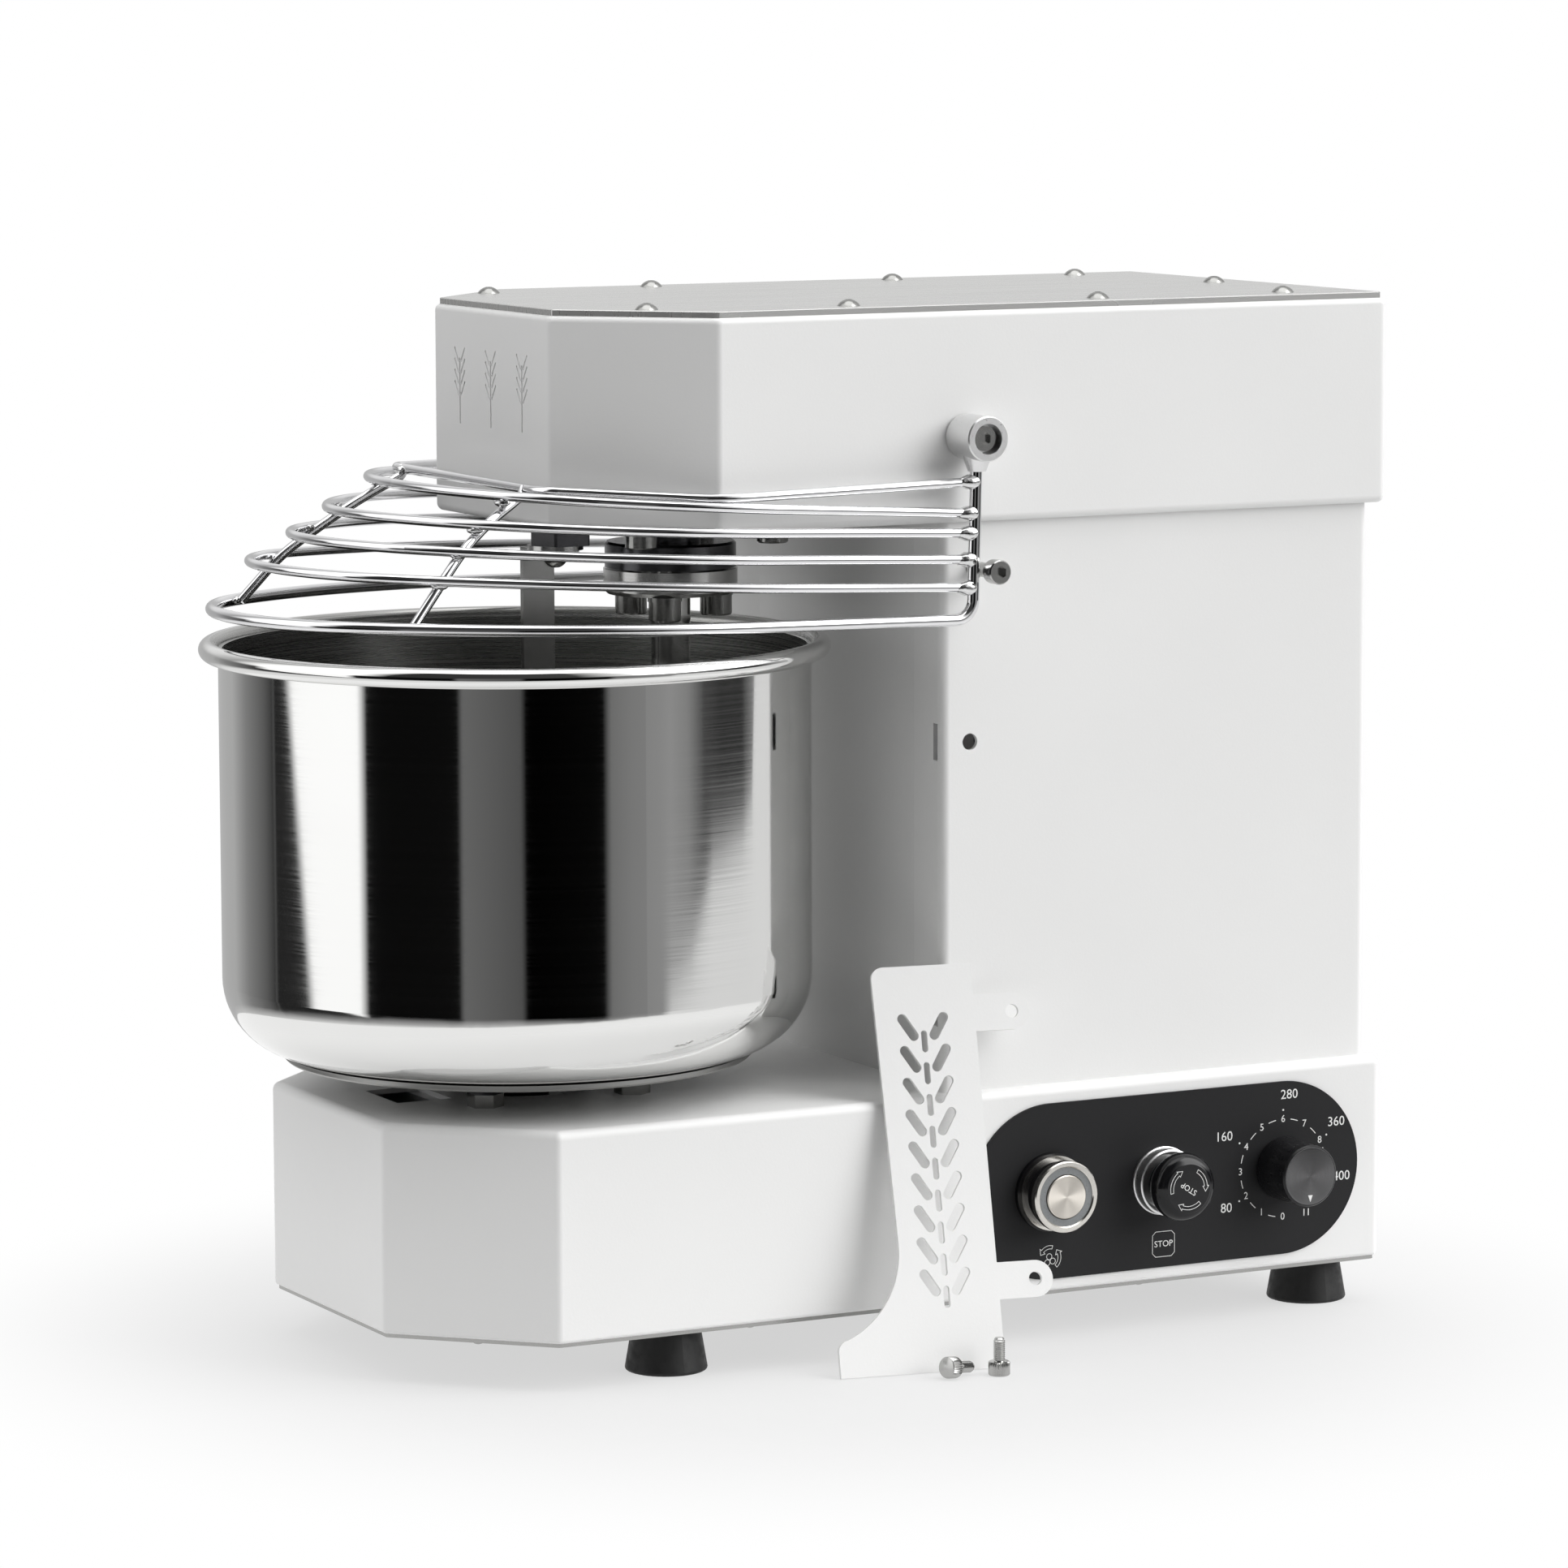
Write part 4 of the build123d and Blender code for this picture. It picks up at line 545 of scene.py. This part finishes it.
# ---- welds of the wire guard --------------------------------------------------------------------
# Beads as (along, radius) in mm: where a loop meets the side bar, and where it meets a cross rod.
END_BEAD = [(-2.9, 0.9), (-2.3, 2.2), (-1.0, 2.95), (0.6, 3.15), (2.4, 3.0), (3.8, 2.55), (5.2, 2.15),
            (6.2, 1.9)]
CROSS_BEAD = [(-3.4, 0.5), (-2.8, 1.1), (-1.5, 1.6), (0.0, 1.75), (1.5, 1.6), (2.8, 1.1), (3.4, 0.5)]
BEAD_SIDES = 20
LUMP = 0.035
LOOP_R = 2.0 * MM
LOOPS = ["guard_frame", "guard_loop_2", "guard_loop_3", "guard_loop_4", "guard_loop_5",
         "guard_top_loop"]


class Beads:
    """Lumpy weld beads gathered into one mesh."""

    def __init__(self):
        self.verts, self.faces = [], []

    def add(self, place, profile):
        """One bead, turned about the Z of its place."""
        start = len(self.verts)
        rng = random.Random(start)
        lumps = [(rng.uniform(0, 6.3), rng.choice((2, 3)), rng.uniform(0, 6.3)) for _ in range(3)]
        for along, radius in profile:
            for i in range(BEAD_SIDES):
                turn = 2 * math.pi * i / BEAD_SIDES
                swell = sum(math.sin(count * turn + phase + along * 0.9 + shift)
                            for phase, count, shift in lumps)
                self.verts.append(ring_point(place, along, radius * (1 + LUMP * swell), turn))
        for face in turned_faces(len(profile), BEAD_SIDES):
            self.faces.append(tuple(start + i for i in face))


def skin(mesh):
    return BVHTree.FromPolygons([v.co for v in mesh.vertices], [p.vertices for p in mesh.polygons])


def crossings(rods, wire):
    """Where each cross rod touches a loop, and which way the loop runs there."""
    rod_skin, wire_skin = skin(rods), skin(wire)
    for side in (-1, 1):
        starts = [v.co for v in rods.vertices if v.co.x * side > 0]
        spot = min(starts, key=lambda co: wire_skin.find_nearest(co)[3])
        for _ in range(30):
            near, _, face, _ = wire_skin.find_nearest(spot)
            spot = rod_skin.find_nearest(near)[0]
        corners = [wire.vertices[i].co for i in wire.polygons[face].vertices]
        edges = [b - a for a, b in zip(corners, corners[1:] + corners[:1])]
        yield (near + spot) / 2, max(edges, key=lambda edge: edge.length)


def add_welds():
    beads = Beads()
    forward = Matrix.Rotation(math.radians(90), 4, "X")
    for loop in LOOPS[1:]:
        low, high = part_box(loop)
        z = high.z - LOOP_R if loop == "guard_top_loop" else low.z + LOOP_R
        for x in (low.x + LOOP_R, high.x - LOOP_R):
            beads.add(Matrix.Translation((x, high.y - 0.4 * MM, z)) @ forward, END_BEAD)
    for loop in LOOPS:
        for spot, along in crossings(nodes["guard_cross_rods"].data, nodes[loop].data):
            turn = along.to_track_quat("Z", "Y").to_matrix().to_4x4()
            beads.add(Matrix.Translation(spot) @ turn, CROSS_BEAD)
    add_mesh("guard_welds", beads.verts, beads.faces, weld_steel, "guard", True)


add_welds()


# ---- stage, light and camera --------------------------------------------------------------------
TABLE_CENTRE = (0.03, -0.06)
TABLE_R, TABLE_SIDES = 0.56, 96
FADE_START, FADE_STOP = 0.18, 0.40
GLOW_NEAR, GLOW_FAR = 0.6, 1.0


def build_floor():
    """Round white table top whose rim melts into the white background."""
    rim = [(x, y, 0) for x, y in circle(TABLE_CENTRE, TABLE_R, TABLE_SIDES)]
    mesh = bpy.data.meshes.new("floor")
    mesh.from_pydata(rim, [], [tuple(range(TABLE_SIDES))])
    floor = bpy.data.objects.new("floor", mesh)
    bpy.context.scene.collection.objects.link(floor)
    g = Graph("pale_floor")
    tone = g.blend(g.noise(60.0), (0.49, 0.49, 0.49), (0.51, 0.51, 0.51))
    g.link(tone, g.shader.inputs["Base Color"])
    g.shader.inputs["Roughness"].default_value = 0.7
    g.shader.inputs["Specular IOR Level"].default_value = 0.2
    glow = g.add("ShaderNodeEmission")
    glow.inputs["Color"].default_value = (1, 1, 1, 1)
    glow.inputs["Strength"].default_value = 1.0
    radius = g.add("ShaderNodeSeparateXYZ")
    g.link(g.turned((*TABLE_CENTRE, 0), 2), radius.inputs[0])
    fade = g.remap(radius.outputs[0], GLOW_NEAR, GLOW_FAR, FADE_START, FADE_STOP, "SMOOTHSTEP")
    both = g.add("ShaderNodeMixShader")
    g.link(fade, both.inputs[0])
    g.link(g.shader.outputs[0], both.inputs[1])
    g.link(glow.outputs[0], both.inputs[2])
    g.link(both.outputs[0], g.tree.nodes["Material Output"].inputs["Surface"])
    mesh.materials.append(g.material)


# Studio round the machine, by direction: degrees to the right of a viewer who looks at the panel's
# front corner, and brightness. First what stands round the table, then the soft boxes above it.
WALLS = [(-180, 0.50), (-140, 0.45), (-126, 0.24), (-112, 0.12), (-106, 0.05), (-98, 1.20), (-61, 1.20),
         (-57, 0.003), (-20, 0.004), (-18, 0.155), (4, 0.095), (6, 0.0), (36, 0.002), (39, 0.185),
         (64, 0.31), (72, 0.25), (80, 0.06), (88, 0.03), (100, 0.03), (110, 0.30), (124, 0.60),
         (150, 0.60), (180, 0.50)]
BOXES = [(-180, 0.9), (-150, 0.8), (-125, 0.4), (-100, 1.6), (-60, 1.6), (-45, 0.03), (25, 0.06), (45, 1.0),
         (55, 5.0), (90, 5.0), (108, 1.2), (140, 0.7), (180, 0.9)]
CARD_TOP = [(60, -9.2), (73, -8.7), (79, -8.25), (84, -7.85), (100, -7.6), (106, -7.3), (109, -5.5)]
WEDGE, CARD, CEILING, UNDER = 0.02, 0.80, 2.4, 0.85
VIEWER, VIEWER_RIGHT = (0.889, -0.458, 0.0), (0.458, 0.889, 0.0)


class Studio(Graph):
    """The same short calls for the world's node tree."""

    def __init__(self, world):
        world.use_nodes = True
        self.tree = world.node_tree
        self.coord = self.add("ShaderNodeTexCoord").outputs["Generated"]

    def dot(self, axis):
        node = self.add("ShaderNodeVectorMath", operation="DOT_PRODUCT")
        node.inputs[1].default_value = axis
        self.link(self.coord, node.inputs[0])
        return node.outputs["Value"]

    def math(self, operation, *values):
        node = self.add("ShaderNodeMath", operation=operation)
        for socket, value in zip(node.inputs, values):
            if isinstance(value, (int, float)):
                socket.default_value = value
            else:
                self.link(value, socket)
        return node.outputs[0]

    def panels(self, turn, stops):
        """Brightness round the horizon, straight between the stops."""
        total = 0.0
        for (a, low), (b, high) in zip(stops, stops[1:]):
            total = self.math("ADD", total, self.remap(turn, 0.0, high - low, a, b))
        return self.math("ADD", total, stops[0][1])

    def mix(self, factor, first, second):
        return self.math("ADD", self.math("MULTIPLY", second, factor),
                         self.math("MULTIPLY", first, self.math("SUBTRACT", 1.0, factor)))


def build_world():
    world = bpy.data.worlds.new("studio")
    bpy.context.scene.world = world
    g = Studio(world)
    turn = g.math("DEGREES", g.math("ARCTAN2", g.dot(VIEWER_RIGHT), g.dot(VIEWER)))
    height = g.math("DEGREES", g.math("ARCSINE", g.dot((0, 0, 1))))
    walls = g.panels(turn, WALLS)
    # A dark wedge with a slanting edge on the left, and a white card low on the right.
    slope = g.math("ADD", turn, g.math("MULTIPLY", height, 4.0))
    wedge = g.math("MULTIPLY", g.remap(turn, 0, 1, -107, -104), g.remap(slope, 1, 0, -123, -119))
    walls = g.mix(wedge, walls, WEDGE)
    below = g.math("SUBTRACT", g.panels(turn, CARD_TOP), height)
    card = g.math("MULTIPLY", g.remap(below, 0, 1, -0.05, 0.12), g.remap(turn, 1, 0, 122, 127))
    walls = g.mix(g.math("MULTIPLY", card, g.remap(turn, 0, 1, 60, 64)), walls, CARD)
    # Walls round the horizon, soft boxes above them, then the ceiling, and pale ground below.
    level = g.mix(g.remap(height, 0, 1, 4, 16, "SMOOTHSTEP"), walls, g.panels(turn, BOXES))
    level = g.mix(g.remap(height, 0, 1, 60, 70, "SMOOTHSTEP"), level, CEILING)
    level = g.mix(g.remap(height, 1, 0, -24, -15), level, UNDER)
    seen = g.add("ShaderNodeLightPath").outputs["Is Camera Ray"]
    back = g.tree.nodes["Background"]
    back.inputs["Color"].default_value = (1, 1, 1, 1)
    g.link(g.mix(seen, level, 1.0), back.inputs["Strength"])


def build_camera():
    """Camera to the right of the front and a little above, turned by azimuth, elevation and roll."""
    azimuth, elevation, roll = 1.0946965, 0.1261903, -0.0031186
    ahead = Vector((-math.sin(azimuth) * math.cos(elevation), math.cos(azimuth) * math.cos(elevation),
                    -math.sin(elevation)))
    right = Vector((math.cos(azimuth), math.sin(azimuth), 0.0))
    up = right.cross(ahead)
    across = math.cos(roll) * right + math.sin(roll) * up
    top = math.cos(roll) * up - math.sin(roll) * right
    data = bpy.data.cameras.new("camera")
    data.lens, data.sensor_width = 149.07, 36.0
    data.clip_start, data.clip_end = 0.05, 60.0
    camera = bpy.data.objects.new("camera", data)
    turn = Matrix((across, top, -ahead)).transposed()
    camera.matrix_world = Matrix.Translation((2.3979, -1.2910, 0.5657)) @ turn.to_4x4()
    bpy.context.scene.collection.objects.link(camera)
    bpy.context.scene.camera = camera


build_floor()
build_world()
build_camera()
bpy.context.scene.view_settings.view_transform = "Standard"
